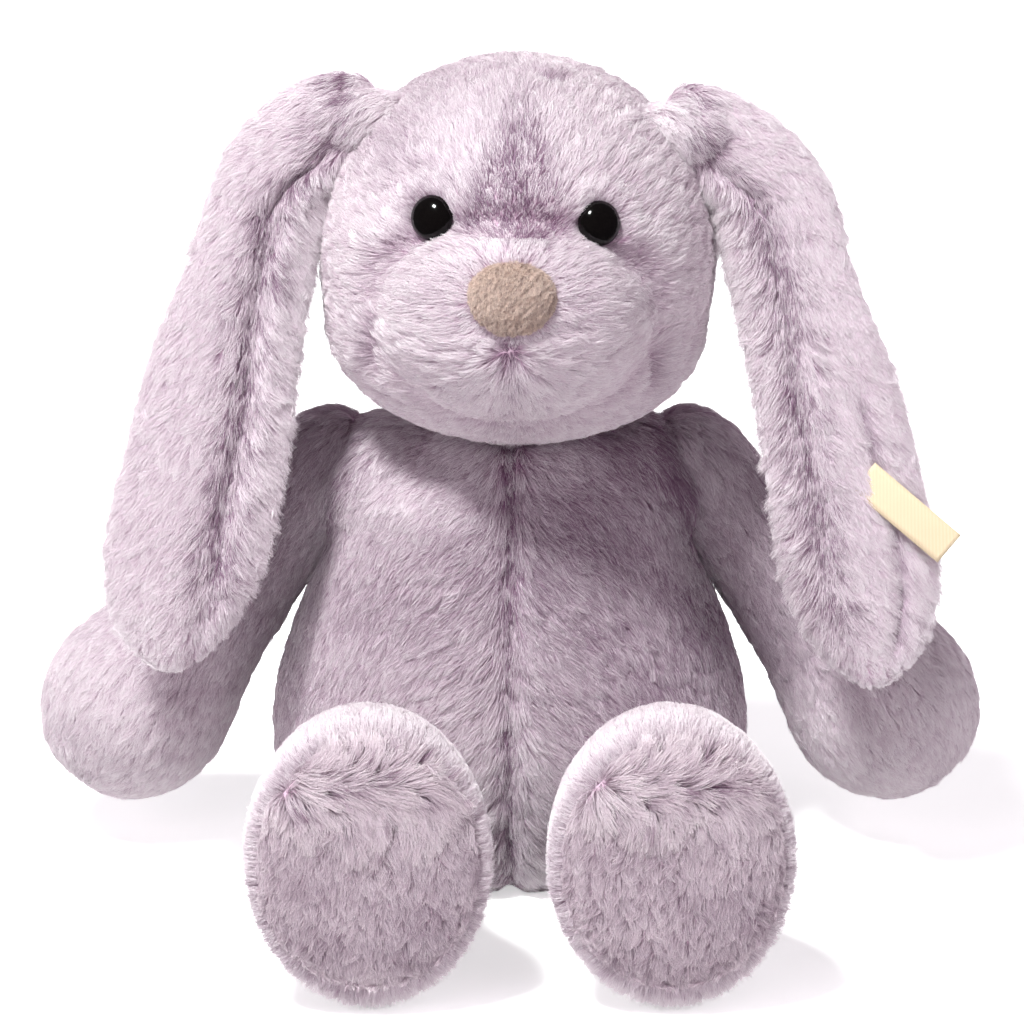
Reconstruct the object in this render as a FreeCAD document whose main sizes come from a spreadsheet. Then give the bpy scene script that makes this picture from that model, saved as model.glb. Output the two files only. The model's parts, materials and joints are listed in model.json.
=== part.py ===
import FreeCAD, Part
import Sketcher
import os

from FreeCAD import Placement, Rotation, Vector

# A stuffed bunny rabbit, seated, in millimetres.
# +Z is up, the bunny faces -Y, and the origin is the middle of the flat seat, on the floor.
# "left" and "right" are the bunny's own: its left side is at +X.

doc = FreeCAD.newDocument("stuffed_bunny")

# ---------------------------------------------------------------- driving sizes
sheet = doc.addObject("Spreadsheet::Sheet", "Sizes")
SIZES = {
    # cloth and clearances
    "cloth": 2.4,  # plush backing with the dense foot of its pile
    "seam_gap": 0.3,  # left between two panels that are sewn together
    "swing_gap": 0.7,  # left round a piece that swings
    "fold_room": 2.8,  # left round a limb's root, where its cloth folds
    "pinch": 0.6,  # how much narrower a cover's hollow is where the limb closes
    "oval": 0.02,  # keeps an ellipse from being exactly round
    # head
    "head_width": 99,
    "head_depth": 90,
    "head_height": 98,
    "head_across": 2,  # the head sits a little to one side
    "head_back": -8,
    "head_up": 164.5,
    "head_turn": -1.7,  # degrees that the face looks to one side
    "head_tilt": 1.7,  # degrees that the head leans to its left
    "cheeks_width": 96,
    "cheeks_depth": 80,
    "cheeks_height": 60,
    "cheeks_drop": 18,
    "muzzle_width": 66,
    "muzzle_depth": 44,
    "muzzle_height": 55,
    "muzzle_forward": 30,
    "muzzle_drop": 6.5,
    "nose_width": 22,
    "nose_height": 19,
    "nose_depth": 9,
    "nose_forward": 50.5,
    "nose_lift": 0.2,
    "eye_width": 12,
    "eye_bulge": 4.2,
    "eye_across": 20,
    "eye_lift": 16.5,
    "eye_stand_off": 0.4,
    "shank_width": 3.2,
    "shank_length": 9,
    "washer_width": 10,
    "washer_depth": 1.2,
    "washer_behind": 1.8,  # between the cloth's inner face and the washer
    # neck
    "neck_width": 28,
    "neck_across": 2,
    "neck_back": -3,
    "neck_up": 117,
    # ears
    "ear_width": 40,
    "ear_depth": 7,
    "ear_length": 150,
    "ear_root_across": 46,
    "ear_root_back": -2,
    "ear_root_lift": 30,
    "ear_root_width": 26,
    "ear_slot_room": 7.5,  # the head's slot is this much wider each way than the ear's root
    "ear_lean": 12,  # degrees that the tips hang forward
    "left_ear_swing": 4,  # degrees that it hangs outwards
    "right_ear_swing": 0,
    # label in the seam of the left ear
    "label_length": 28,
    "label_height": 9,
    "label_depth": 1,
    "label_tilt": 42,  # degrees that the label points downwards
    "label_drop": 88.3,
    "label_across": 34,
    # torso
    "torso_width": 122,
    "torso_depth": 88,
    "torso_height": 113,
    "pouch_width": 62,
    "pouch_depth": 44,
    "pouch_height": 20,
    "tail_width": 34,
    "tail_back": 53,
    "tail_up": 27,
    # arms
    "shoulder_across": 46.8,
    "shoulder_back": 8,
    "shoulder_up": 102,
    "shoulder_width": 29,
    "arm_width": 30,
    "paw_width": 47,
    "arm_length": 83,
    "arm_drop": 51.5,  # degrees below level
    # legs
    "hip_across": 35,
    "hip_back": -46,
    "hip_up": 27.5,
    "hip_width": 34,
    "foot_width": 57,
    "foot_height": 73.5,
    "foot_lift": 11.6,
    "leg_length": 65,
    "sole_width": 51,
    "sole_height": 59,
    "sole_sink": 0.5,  # the sole lies this far inside the end of the leg
    "left_foot_out": 4,
    "right_foot_out": -1,
}
for row, (alias, number) in enumerate(SIZES.items(), start=1):
    sheet.set("A%d" % row, alias)
    sheet.set("B%d" % row, str(number))
    sheet.setAlias("B%d" % row, alias)
doc.recompute()

SIDES = (("left", 1), ("right", -1))
FAR = 400  # a box this long reaches past any piece


def size(expression):
    """The number that an expression of the sheet's sizes gives now."""
    return float(sheet.evalExpression(expression))


def named(text):
    """Write sheet sizes in braces: '{cloth} / 2' becomes an expression of the sheet."""
    return text.replace("{", "Sizes.").replace("}", "")


def number(text):
    return size(text.replace("{", "").replace("}", ""))


# ---------------------------------------------------------------- building blocks
def bind(thing, **properties):
    """Drive a thing's properties from the sheet."""
    for name, text in properties.items():
        thing.setExpression(name, named(text))
    return thing


def ellipsoid(name, wide, deep, tall, at=Vector()):
    """An ellipsoid from its three half sizes along X, Y and Z."""
    thing = doc.addObject("Part::Ellipsoid", name)
    bind(thing, Radius1=tall, Radius2=wide, Radius3=deep)
    thing.Angle1 = -90
    thing.Angle2 = 90
    thing.Placement.Base = at
    return thing


def ball(name, radius, at):
    thing = doc.addObject("Part::Sphere", name)
    bind(thing, Radius=radius)
    thing.Placement.Base = at
    return thing


def rod(name, radius, length, where):
    thing = doc.addObject("Part::Cylinder", name)
    bind(thing, Radius=radius, Height=length)
    thing.Placement = where
    return thing


def region(name, low, high):
    """A box between two corners, to keep only what lies inside it."""
    thing = doc.addObject("Part::Box", name)
    thing.Length, thing.Width, thing.Height = high - low
    thing.Placement.Base = low
    return thing


def cut(name, base, tool):
    thing = doc.addObject("Part::Cut", name)
    thing.Base, thing.Tool = base, tool
    return thing


def common(name, base, tool):
    thing = doc.addObject("Part::Common", name)
    thing.Base, thing.Tool = base, tool
    return thing


def fuse(name, *things):
    thing = doc.addObject("Part::MultiFuse", name)
    thing.Shapes = list(things)
    return thing


def base_plane(body):
    return [p for p in body.Origin.OriginFeatures if p.Role == "XY_Plane"][0]


def flat_sketch(body, name):
    """An empty sketch on its body's base plane."""
    sketch = body.newObject("Sketcher::SketchObject", name)
    sketch.AttachmentSupport = (base_plane(body), [""])
    sketch.MapMode = "FlatFace"
    return sketch


def ellipse_sketch(body, name, wide, tall, upright=False):
    """A sketch of one ellipse about its origin; upright says that it is longer along Y."""
    sketch = flat_sketch(body, name)
    half_wide, half_tall = number(wide), number(tall)
    longest = Vector(0, half_tall, 0) if upright else Vector(half_wide, 0, 0)
    shortest = Vector(half_wide, 0, 0) if upright else Vector(0, half_tall, 0)
    curve = sketch.addGeometry(Part.Ellipse(longest, shortest, Vector()), False)
    sketch.exposeInternalGeometry(curve)
    major, minor = curve + 1, curve + 2
    sketch.addConstraint(Sketcher.Constraint("Coincident", curve, 3, -1, 1))
    direction = "Vertical" if upright else "Horizontal"
    sketch.addConstraint(Sketcher.Constraint(direction, major))
    lengths = (tall, wide) if upright else (wide, tall)
    for line, text in zip((major, minor), lengths):
        distance = Sketcher.Constraint("Distance", line, 2 * number(text))
        index = sketch.addConstraint(distance)
        sketch.setExpression("Constraints[%d]" % index, named("2 * (%s)" % text))
    return sketch


def loft(name, sections, upright=False):
    """A body through ellipses. Each section is (height, half width, half depth, shift X, shift Y, tilt)."""
    body = doc.addObject("PartDesign::Body", name)
    sketches = []
    for i, (up, wide, deep, across, over, tilt) in enumerate(sections):
        sketch = ellipse_sketch(body, "%s_section_%d" % (name, i), wide, deep, upright)
        sketch.AttachmentOffset = Placement(Vector(), Rotation(Vector(0, 1, 0), 1))
        bind(sketch, **{
            "AttachmentOffset.Base.x": across,
            "AttachmentOffset.Base.y": over,
            "AttachmentOffset.Base.z": up,
            "AttachmentOffset.Rotation.Angle": tilt,
        })
        sketches.append(sketch)
    feature = body.newObject("PartDesign::AdditiveLoft", name + "_loft")
    feature.Profile = sketches[0]
    feature.Sections = sketches[1:]
    feature.Ruled = False
    return body


def turned(name, outline):
    """A body of revolution about Z. The outline is (radius, height) corners, from axis to axis."""
    body = doc.addObject("PartDesign::Body", name)
    sketch = body.newObject("Sketcher::SketchObject", name + "_outline")
    plane = [p for p in body.Origin.OriginFeatures if p.Role == "XZ_Plane"][0]
    sketch.AttachmentSupport = (plane, [""])
    sketch.MapMode = "FlatFace"
    corners = [Vector(number(r), number(z), 0) for r, z in outline]
    count = len(corners)
    for i in range(count):
        sketch.addGeometry(Part.LineSegment(corners[i], corners[(i + 1) % count]), False)
    for i in range(count):
        joined = Sketcher.Constraint("Coincident", i, 2, (i + 1) % count, 1)
        sketch.addConstraint(joined)
    for i, (radius, height) in enumerate(outline):
        for kind, text in (("DistanceX", radius), ("DistanceY", height)):
            held = Sketcher.Constraint(kind, -1, 1, i, 1, number(text))
            index = sketch.addConstraint(held)
            sketch.setExpression("Constraints[%d]" % index, named(text))
    feature = body.newObject("PartDesign::Revolution", name + "_turned")
    feature.Profile = sketch
    feature.ReferenceAxis = (sketch, ["V_Axis"])
    feature.Angle = 360
    return body


pieces = []  # every sub-part, in the order that it is made


def piece(thing, label, where=Placement()):
    """Name a finished sub-part and put it in its place on the toy."""
    thing.Label = label
    thing.Placement = where.multiply(thing.Placement)
    pieces.append(thing)
    return thing


# ---------------------------------------------------------------- where the moving parts hang
HEAD = Placement(
    Vector(number("{head_across}"), number("{head_back}"), number("{head_up}")),
    Rotation(Vector(0, 0, 1), number("{head_turn}")).multiply(
        Rotation(Vector(0, 1, 0), number("{head_tilt}"))
    ),
)
NECK = Vector(number("{neck_across}"), number("{neck_back}"), number("{neck_up}"))


def ear_root(side):
    """The ear's own frame in the head's frame: its root is the origin and the ear hangs to -Z."""
    at = Vector(side * number("{ear_root_across}"), number("{ear_root_back}"), number("{ear_root_lift}"))
    lean = Rotation(Vector(1, 0, 0), -number("{ear_lean}"))
    swing = number("{left_ear_swing}" if side > 0 else "{right_ear_swing}")
    return Placement(at, lean.multiply(Rotation(Vector(0, 1, 0), -side * swing)))


def shoulder(side):
    """The arm's own frame: the arm runs along +Z from the shoulder to the paw."""
    at = Vector(side * number("{shoulder_across}"), number("{shoulder_back}"), number("{shoulder_up}"))
    return Placement(at, Rotation(Vector(0, 1, 0), side * (90 + number("{arm_drop}"))))


def hip(side):
    """The leg's own frame: the leg runs along +Z to the sole, and its +Y is up."""
    at = Vector(side * number("{hip_across}"), number("{hip_back}"), number("{hip_up}"))
    return Placement(at, Rotation(Vector(1, 0, 0), 90))


# ---------------------------------------------------------------- head
def cover_panels(cover, part_name, behind, ahead):
    """Split a sewn cover at its middle seam into a left and a right panel, between two depths."""
    half_gap = number("{seam_gap} / 2")
    for word, side in SIDES:
        left, right = (half_gap, FAR) if side > 0 else (-FAR, -half_gap)
        name = "%s_%s" % (part_name, word)
        half = region(name + "_region", Vector(left, ahead, -FAR), Vector(right, behind, FAR))
        piece(common(name + "_form", cover, half), name, HEAD)


def eye_place(side):
    """The eye's own frame in the head's frame: it stands on the face, with +Z looking out."""
    half = Vector(number("{head_width} / 2"), number("{head_depth} / 2"), number("{head_height} / 2"))
    across, lift = side * number("{eye_across}"), number("{eye_lift}")
    forward = -half.y * (1 - (across / half.x) ** 2 - (lift / half.z) ** 2) ** 0.5
    outward = Vector(across / half.x**2, forward / half.y**2, lift / half.z**2).normalize()
    stand_off = outward * number("{seam_gap} + {eye_stand_off}")
    return Placement(Vector(across, forward, lift) + stand_off, Rotation(Vector(0, 0, 1), outward))


def make_head():
    half_head = ("{head_width} / 2", "{head_depth} / 2", "{head_height} / 2")
    half_cheeks = ("{cheeks_width} / 2", "{cheeks_depth} / 2", "{cheeks_height} / 2")
    half_muzzle = ("{muzzle_width} / 2", "{muzzle_depth} / 2", "{muzzle_height} / 2")
    cheeks_at = Vector(0, 0, -number("{cheeks_drop}"))
    muzzle_at = Vector(0, -number("{muzzle_forward}"), -number("{muzzle_drop}"))

    def grown(name, halves, extra, at=Vector()):
        return ellipsoid(name, *[text + extra for text in halves], at=at)

    def grown_head(name, extra):
        """The round of the head with its fuller cheeks."""
        skull = grown(name + "_skull", half_head, extra)
        return fuse(name, skull, grown(name + "_cheeks", half_cheeks, extra, cheeks_at))

    head_form = grown_head("head_form", "")
    head_round = grown_head("head_round", " + {seam_gap}")
    head_hollow = grown_head("head_hollow", " - {cloth}")
    head_fill = grown_head("head_fill", " - {cloth} - {seam_gap}")
    muzzle_form = grown("muzzle_form", half_muzzle, "", muzzle_at)
    muzzle_round = grown("muzzle_round", half_muzzle, " + {seam_gap}", muzzle_at)
    muzzle_hollow = grown("muzzle_hollow", half_muzzle, " - {cloth}", muzzle_at)
    muzzle_fill = grown("muzzle_fill", half_muzzle, " - {cloth} - {seam_gap}", muzzle_at)

    # what opens the covers: the neck, the ears' slots and the eyes' shanks
    openings = [ball("neck_opening", "{neck_width} / 2 + {swing_gap}", HEAD.inverse().multVec(NECK))]
    pockets = []
    for word, side in SIDES:
        slot_depth = "{ear_depth} + 2 * {swing_gap}"
        middle = Placement(Vector(0, number(slot_depth) / 2, 0), Rotation(Vector(1, 0, 0), 90))
        slot = rod(
            word + "_ear_slot", "{ear_root_width} / 2 + {ear_slot_room}",
            slot_depth, ear_root(side).multiply(middle),
        )
        openings.append(slot)
        back = Placement(Vector(0, 0, -number("{shank_length} + {seam_gap}")), Rotation())
        eye = eye_place(side)
        shank = rod(
            word + "_shank_hole", "{shank_width} / 2 + {seam_gap}",
            "{shank_length} + 2 * {seam_gap}", eye.multiply(back),
        )
        openings.append(shank)
        behind = Placement(Vector(0, 0, -number("{shank_length}")), Rotation())
        pocket = rod(
            word + "_washer_pocket", "{washer_width} / 2 + {seam_gap}",
            "{shank_length} - {cloth}", eye.multiply(behind),
        )
        pockets.append(pocket)
    open_head = fuse("head_openings", *openings)

    # the face and the back of the head are each two panels
    inside = fuse("inside_head_cover", head_hollow, muzzle_round, open_head)
    head_cover = cut("head_cover", head_form, inside)
    half_gap = number("{seam_gap} / 2")
    cover_panels(head_cover, "face_panel", behind=-half_gap, ahead=-FAR)
    cover_panels(head_cover, "head_back_panel", behind=FAR, ahead=half_gap)

    # the muzzle is two more, sewn up the middle under the nose
    inside = fuse("inside_muzzle_cover", muzzle_hollow, head_round)
    muzzle_cover = cut("muzzle_cover", muzzle_form, inside)
    cover_panels(muzzle_cover, "muzzle_panel", behind=FAR, ahead=-FAR)

    # one mass of stuffing fills the head and the muzzle
    filling = fuse("head_and_muzzle_filling", head_fill, muzzle_fill)
    hollows = fuse("filling_hollows", open_head, *pockets)
    piece(cut("head_stuffing_form", filling, hollows), "head_stuffing", HEAD)

    # the nose is a padded patch that sits on the muzzle
    nose_at = Vector(0, -number("{nose_forward}"), number("{nose_lift}"))
    nose = ellipsoid("nose_form", "{nose_width} / 2", "{nose_depth} / 2", "{nose_height} / 2", nose_at)
    seat = fuse("nose_seat", muzzle_round, head_round)
    piece(cut("nose_pad_form", nose, seat), "nose_pad", HEAD)

    for word, side in SIDES:
        make_eye(word, HEAD.multiply(eye_place(side)))


# corners of the eye's dome: shares of its width from the middle, and of its bulge
DOME = ((0.47, 0.0), (0.50, 0.18), (0.455, 0.52), (0.33, 0.84), (0.15, 0.98), (0.0, 1.0))


def make_eye(word, where):
    """A domed eye with a shank that goes through the face, and the washer that locks it inside."""
    outline = [
        ("0", "-{shank_length}"),
        ("{shank_width} / 2", "-{shank_length}"),
        ("{shank_width} / 2", "0"),
    ]
    for of_width, of_bulge in DOME:
        outline.append(("{eye_width} * %g" % of_width, "{eye_bulge} * %g" % of_bulge))
    eye = turned("eye_" + word + "_body", outline)
    piece(eye, "eye_" + word, where)
    deep = "-{cloth} - {washer_behind}"
    washer = turned("washer_" + word + "_body", (
        ("{shank_width} / 2 + {seam_gap} / 2", deep + " - {washer_depth}"),
        ("{washer_width} / 2", deep + " - {washer_depth}"),
        ("{washer_width} / 2", deep),
        ("{shank_width} / 2 + {seam_gap} / 2", deep),
    ))
    piece(washer, "eye_washer_" + word, where)


# ---------------------------------------------------------------- ears
# stations down the ear: across and down from the root as shares of its length, half width as
# a share of its width, half thickness as a share of its depth, and the way that it points there,
# in degrees from +Z
EAR_STATIONS = (
    (-0.053, 0.000, 0.250, 0.45, 84),
    (0.000, 0.000, 0.340, 0.50, 90),
    (0.093, 0.080, 0.360, 0.50, 145),
    (0.140, 0.240, 0.375, 0.50, 160),
    (0.180, 0.387, 0.425, 0.50, 165),
    (0.220, 0.600, 0.470, 0.50, 170),
    (0.240, 0.720, 0.478, 0.50, 174),
    (0.250, 0.813, 0.390, 0.50, 178),
    (0.253, 0.887, 0.236, 0.44, 180),
    (0.253, 0.920, 0.083, 0.31, 180),
)


def ear_form(word, side):
    sections = []
    for across, down, half, half_thick, points in EAR_STATIONS:
        sections.append((
            "-{ear_length} * %g" % down,
            "{ear_width} * %g" % half,
            "{ear_depth} * %g" % half_thick,
            "%g * {ear_length} * %g" % (side, across),
            "0",
            "%g" % (side * points),
        ))
    return loft(word + "_ear_form", sections)


def make_ear(word, side):
    """Two layers of plush sewn together round their edge, which hang from the side of the head."""
    where = HEAD.multiply(ear_root(side))
    form = ear_form(word, side)
    half_gap = number("{seam_gap} / 2")
    for face, low, high in (("front", -FAR, -half_gap), ("back", half_gap, FAR)):
        layer = region(word + "_ear_%s_region" % face, Vector(-FAR, low, -FAR), Vector(FAR, high, FAR))
        name = "%s_ear_%s_panel" % (word, face)
        piece(common(name + "_form", form, layer), name, where)


def make_label():
    """A plain folded ribbon, caught in the seam of the left ear and lying on its front."""
    body = doc.addObject("PartDesign::Body", "ear_label_body")
    sketch = flat_sketch(body, "ear_label_outline")
    long, high = number("{label_length}"), number("{label_height}")
    corners = [Vector(0, 0, 0), Vector(long, 0, 0), Vector(long, high, 0), Vector(0, high, 0)]
    for i in range(4):
        sketch.addGeometry(Part.LineSegment(corners[i], corners[(i + 1) % 4]), False)
    for i in range(4):
        sketch.addConstraint(Sketcher.Constraint("Coincident", i, 2, (i + 1) % 4, 1))
    sketch.addConstraint(Sketcher.Constraint("Coincident", 0, 1, -1, 1))
    for line, direction in enumerate(("Horizontal", "Vertical", "Horizontal", "Vertical")):
        sketch.addConstraint(Sketcher.Constraint(direction, line))
    for line, text in ((0, "{label_length}"), (1, "{label_height}")):
        index = sketch.addConstraint(Sketcher.Constraint("Distance", line, number(text)))
        sketch.setExpression("Constraints[%d]" % index, named(text))
    pad = body.newObject("PartDesign::Pad", "ear_label_pad")
    pad.Profile = sketch
    bind(pad, Length="{label_depth}")
    doc.recompute()
    piece(body, "ear_label", label_place())


def label_place():
    """The label's frame: +X runs from its sewn edge to its fold, and +Z faces forward."""
    at = Vector(
        number("{label_across}"), -number("{ear_depth} / 2 + {swing_gap}"), -number("{label_drop}")
    )
    stand = Rotation(Vector(1, 0, 0), 90)
    tilt = Rotation(Vector(0, 1, 0), number("{label_tilt}"))
    return HEAD.multiply(ear_root(1)).multiply(Placement(at, tilt.multiply(stand)))


# ---------------------------------------------------------------- torso
# stations up the torso: share of its height, and its width and depth as shares of the widest
TORSO_STATIONS = (
    (0.000, 0.79),
    (0.055, 0.90),
    (0.150, 0.975),
    (0.270, 1.00),
    (0.400, 0.96),
    (0.540, 0.85),
    (0.690, 0.73),
    (0.830, 0.61),
    (0.930, 0.48),
    (0.985, 0.33),
    (1.000, 0.20),
)


def torso_form(name, inset):
    """The pear-shaped torso, drawn in all round by the inset."""
    sections = []
    last = len(TORSO_STATIONS) - 1
    for i, (up, share) in enumerate(TORSO_STATIONS):
        height = "{torso_height} * %g" % up
        if i == 0:
            height += " + " + inset
        if i == last:
            height += " - (%s)" % inset
        sections.append((
            height,
            "{torso_width} / 2 * %g - (%s)" % (share, inset),
            "{torso_depth} / 2 * %g - (%s)" % (share, inset),
            "0", "0", "0",
        ))
    return loft(name, sections)


def make_torso():
    outside = torso_form("torso_outside", "0")
    inside = torso_form("torso_inside", "{cloth}")
    filling = torso_form("torso_filling", "{cloth} + {seam_gap}")

    # hollows that the neck, the shoulders, the hips and the tail sit in
    hollows = [ball("neck_hollow", "{neck_width} / 2 + {swing_gap}", NECK)]
    for word, side in SIDES:
        hollows.append(
            ball(word + "_shoulder_hollow", "{shoulder_width} / 2 + {fold_room}", shoulder(side).Base)
        )
        hollows.append(ball(word + "_hip_hollow", "{hip_width} / 2 + {fold_room}", hip(side).Base))
    tail_at = Vector(0, number("{tail_back}"), number("{tail_up}"))
    hollows.append(ball("tail_hollow", "{tail_width} / 2 + {seam_gap}", tail_at))
    sockets = fuse("torso_sockets", *hollows)

    floor = number("{cloth} + {seam_gap}")
    cover = cut("torso_cover", outside, fuse("inside_torso_cover", inside, sockets))
    half_gap = number("{seam_gap} / 2")
    for face, low, high in (("chest", -FAR, -half_gap), ("back", half_gap, FAR)):
        for word, side in SIDES:
            left, right = (half_gap, FAR) if side > 0 else (-FAR, -half_gap)
            name = "%s_panel_%s" % (face, word)
            quarter = region(name + "_region", Vector(left, low, floor), Vector(right, high, FAR))
            piece(common(name + "_form", cover, quarter), name)

    # the seat is one flat panel that the torso rests on
    floor_slice = region("seat_region", Vector(-FAR, -FAR, -1), Vector(FAR, FAR, number("{cloth}")))
    seat = common("seat_slice", outside, floor_slice)
    piece(cut("seat_panel_form", seat, sockets), "seat_panel")

    pouch_at = Vector(0, 0, number("{cloth} + {pouch_height} / 2 + 2 * {seam_gap}"))
    half_pouch = ("{pouch_width} / 2", "{pouch_depth} / 2", "{pouch_height} / 2")
    pouch = ellipsoid("pouch_form", *half_pouch, at=pouch_at)
    room = ellipsoid("pouch_room", *[text + " + {seam_gap}" for text in half_pouch], at=pouch_at)
    piece(cut("body_stuffing_form", filling, fuse("filling_room", room, sockets)), "body_stuffing")
    piece(pouch, "pellet_pouch")

    tail = ball("tail_form", "{tail_width} / 2", tail_at)
    tail_inside = ball("tail_inside", "{tail_width} / 2 - {cloth}", tail_at)
    piece(cut("tail_cover_form", tail, tail_inside), "tail_cover")
    piece(ball("tail_stuffing_form", "{tail_width} / 2 - {cloth} - {seam_gap}", tail_at), "tail_stuffing")

    piece(ball("neck_form", "{neck_width} / 2", NECK), "neck_stuffing")


# ---------------------------------------------------------------- arms
# stations down the arm: share of its length, a little added in millimetres, and
# half width as shares of the shoulder's, the arm's and the paw's width
ARM_STATIONS = (
    (0.00, -14.4, 0.13, 0.00, 0.00),
    (0.00, -9.5, 0.38, 0.00, 0.00),
    (0.00, 0.0, 0.50, 0.00, 0.00),
    (0.28, 0.0, 0.15, 0.31, 0.00),
    (0.50, 0.0, 0.00, 0.48, 0.02),
    (0.74, 0.0, 0.00, 0.28, 0.22),
    (0.96, 0.0, 0.00, 0.00, 0.50),
    (1.00, 14.5, 0.00, 0.00, 0.415),
    (1.00, 22.5, 0.00, 0.00, 0.21),
)


def arm_form(name, inset="0"):
    """The arm's round form, drawn in all round by the inset."""
    sections = []
    last = len(ARM_STATIONS) - 1
    for i, (share, extra, of_shoulder, of_arm, of_paw) in enumerate(ARM_STATIONS):
        half = "({shoulder_width} * %g + {arm_width} * %g + {paw_width} * %g)" % (
            of_shoulder, of_arm, of_paw,
        )
        along = "{arm_length} * %g + %g" % (share, extra)
        if i == 0:
            half += " * {pinch}" if inset != "0" else ""
            along += " + (%s)" % inset
        else:
            half += " - (%s)" % inset
        if i == last:
            along += " - (%s)" % inset
        sections.append((along, half + " + {oval}", half, "0", "0", "0"))
    return loft(name, sections)


def make_arm(word, side):
    where = shoulder(side)
    outside = arm_form(word + "_arm_outside")
    inside = arm_form(word + "_arm_inside", "{cloth}")
    cover = cut(word + "_arm_cover", outside, inside)
    half_gap = number("{seam_gap} / 2")
    for face, low, high in (("front", -FAR, -half_gap), ("back", half_gap, FAR)):
        name = "%s_arm_%s_panel" % (word, face)
        layer = region(name + "_region", Vector(-FAR, low, -FAR), Vector(FAR, high, FAR))
        piece(common(name + "_form", cover, layer), name, where)
    filling = arm_form(word + "_arm_filling", "{cloth} + {seam_gap}")
    piece(filling, word + "_arm_stuffing", where)


# ---------------------------------------------------------------- legs
# stations down the leg: share of its length, a little added in millimetres,
# half width as shares of the hip's and of the foot's size, and the share of the foot's lift
LEG_STATIONS = (
    (0.00, -16.2, 0.14, 0.00, 0.00),
    (0.00, -10.5, 0.39, 0.00, 0.00),
    (0.00, 0.0, 0.50, 0.00, 0.00),
    (0.26, 0.0, 0.51, 0.00, 0.10),
    (0.52, 0.0, 0.20, 0.26, 0.55),
    (0.74, 0.0, 0.00, 0.475, 0.95),
    (0.90, 0.0, 0.00, 0.500, 1.00),
    (1.00, -0.5, 0.00, 0.460, 1.00),
)


def leg_form(name, foot_out, inset="0"):
    """The leg's form, drawn in all round by the inset; the foot stands out to the side."""
    sections = []
    last = len(LEG_STATIONS) - 1
    for i, (share, extra, of_hip, of_foot, lift) in enumerate(LEG_STATIONS):
        wide = "({hip_width} * %g + {foot_width} * %g)" % (of_hip, of_foot)
        tall = "({hip_width} * %g + {foot_height} * %g)" % (of_hip, of_foot)
        along = "{leg_length} * %g + %g" % (share, extra)
        if i == 0:
            drawn_in = " * {pinch}" if inset != "0" else ""
            along += " + (%s)" % inset
        else:
            drawn_in = " - (%s)" % inset
        if i == last:
            along += " - (%s)" % inset
        across = "%s * %g" % (foot_out, share)
        over = "{foot_lift} * %g" % lift
        sections.append((along, wide + drawn_in, tall + drawn_in + " + {oval}", across, over, "0"))
    return loft(name, sections, upright=True)


def make_leg(word, side):
    """A leg of two panels and a flat oval sole, filled with stuffing."""
    where = hip(side)
    foot_out = "%d * {%s_foot_out}" % (side, word)
    outside = leg_form(word + "_leg_outside", foot_out)
    inside = leg_form(word + "_leg_inside", foot_out, "{cloth}")
    cover = cut(word + "_leg_cover", outside, inside)
    half_gap = number("{seam_gap} / 2")
    for edge, way in (("outer", side), ("inner", -side)):
        left, right = (half_gap, FAR) if way > 0 else (-FAR, -half_gap)
        name = "%s_leg_%s_panel" % (word, edge)
        half = region(name + "_region", Vector(left, -FAR, -FAR), Vector(right, FAR, FAR))
        piece(common(name + "_form", cover, half), name, where)
    filling = leg_form(word + "_leg_filling", foot_out, "{cloth} + {seam_gap}")
    piece(filling, word + "_leg_stuffing", where)

    sole = doc.addObject("PartDesign::Body", word + "_sole_body")
    outline = ellipse_sketch(
        sole, word + "_sole_outline", "{sole_width} / 2", "{sole_height} / 2", upright=True
    )
    bind(outline, **{
        "AttachmentOffset.Base.x": foot_out,
        "AttachmentOffset.Base.y": "{foot_lift}",
        "AttachmentOffset.Base.z": "{leg_length} - {sole_sink} + {seam_gap}",
    })
    pad = sole.newObject("PartDesign::Pad", word + "_sole_pad")
    pad.Profile = outline
    bind(pad, Length="{cloth}")
    piece(sole, word + "_sole_panel", where)


# ---------------------------------------------------------------- the toy
make_head()
make_torso()
for word, side in SIDES:
    make_ear(word, side)
    make_arm(word, side)
    make_leg(word, side)
make_label()

doc.recompute()
for thing in doc.Objects:
    if "Invalid" in thing.State or "Error" in thing.State:
        raise RuntimeError("%s did not rebuild: %s" % (thing.Name, thing.State))
os.makedirs("parts", exist_ok=True)
for thing in pieces:
    shape = thing.Shape
    if shape.isNull() or not shape.isValid() or not shape.Solids:
        raise RuntimeError("%s has no valid solid" % thing.Label)
    shape.exportStep("parts/%s.step" % thing.Label)
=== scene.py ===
import json
import math

import bmesh
import bpy
import numpy as np
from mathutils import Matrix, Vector
from mathutils.kdtree import KDTree


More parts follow.
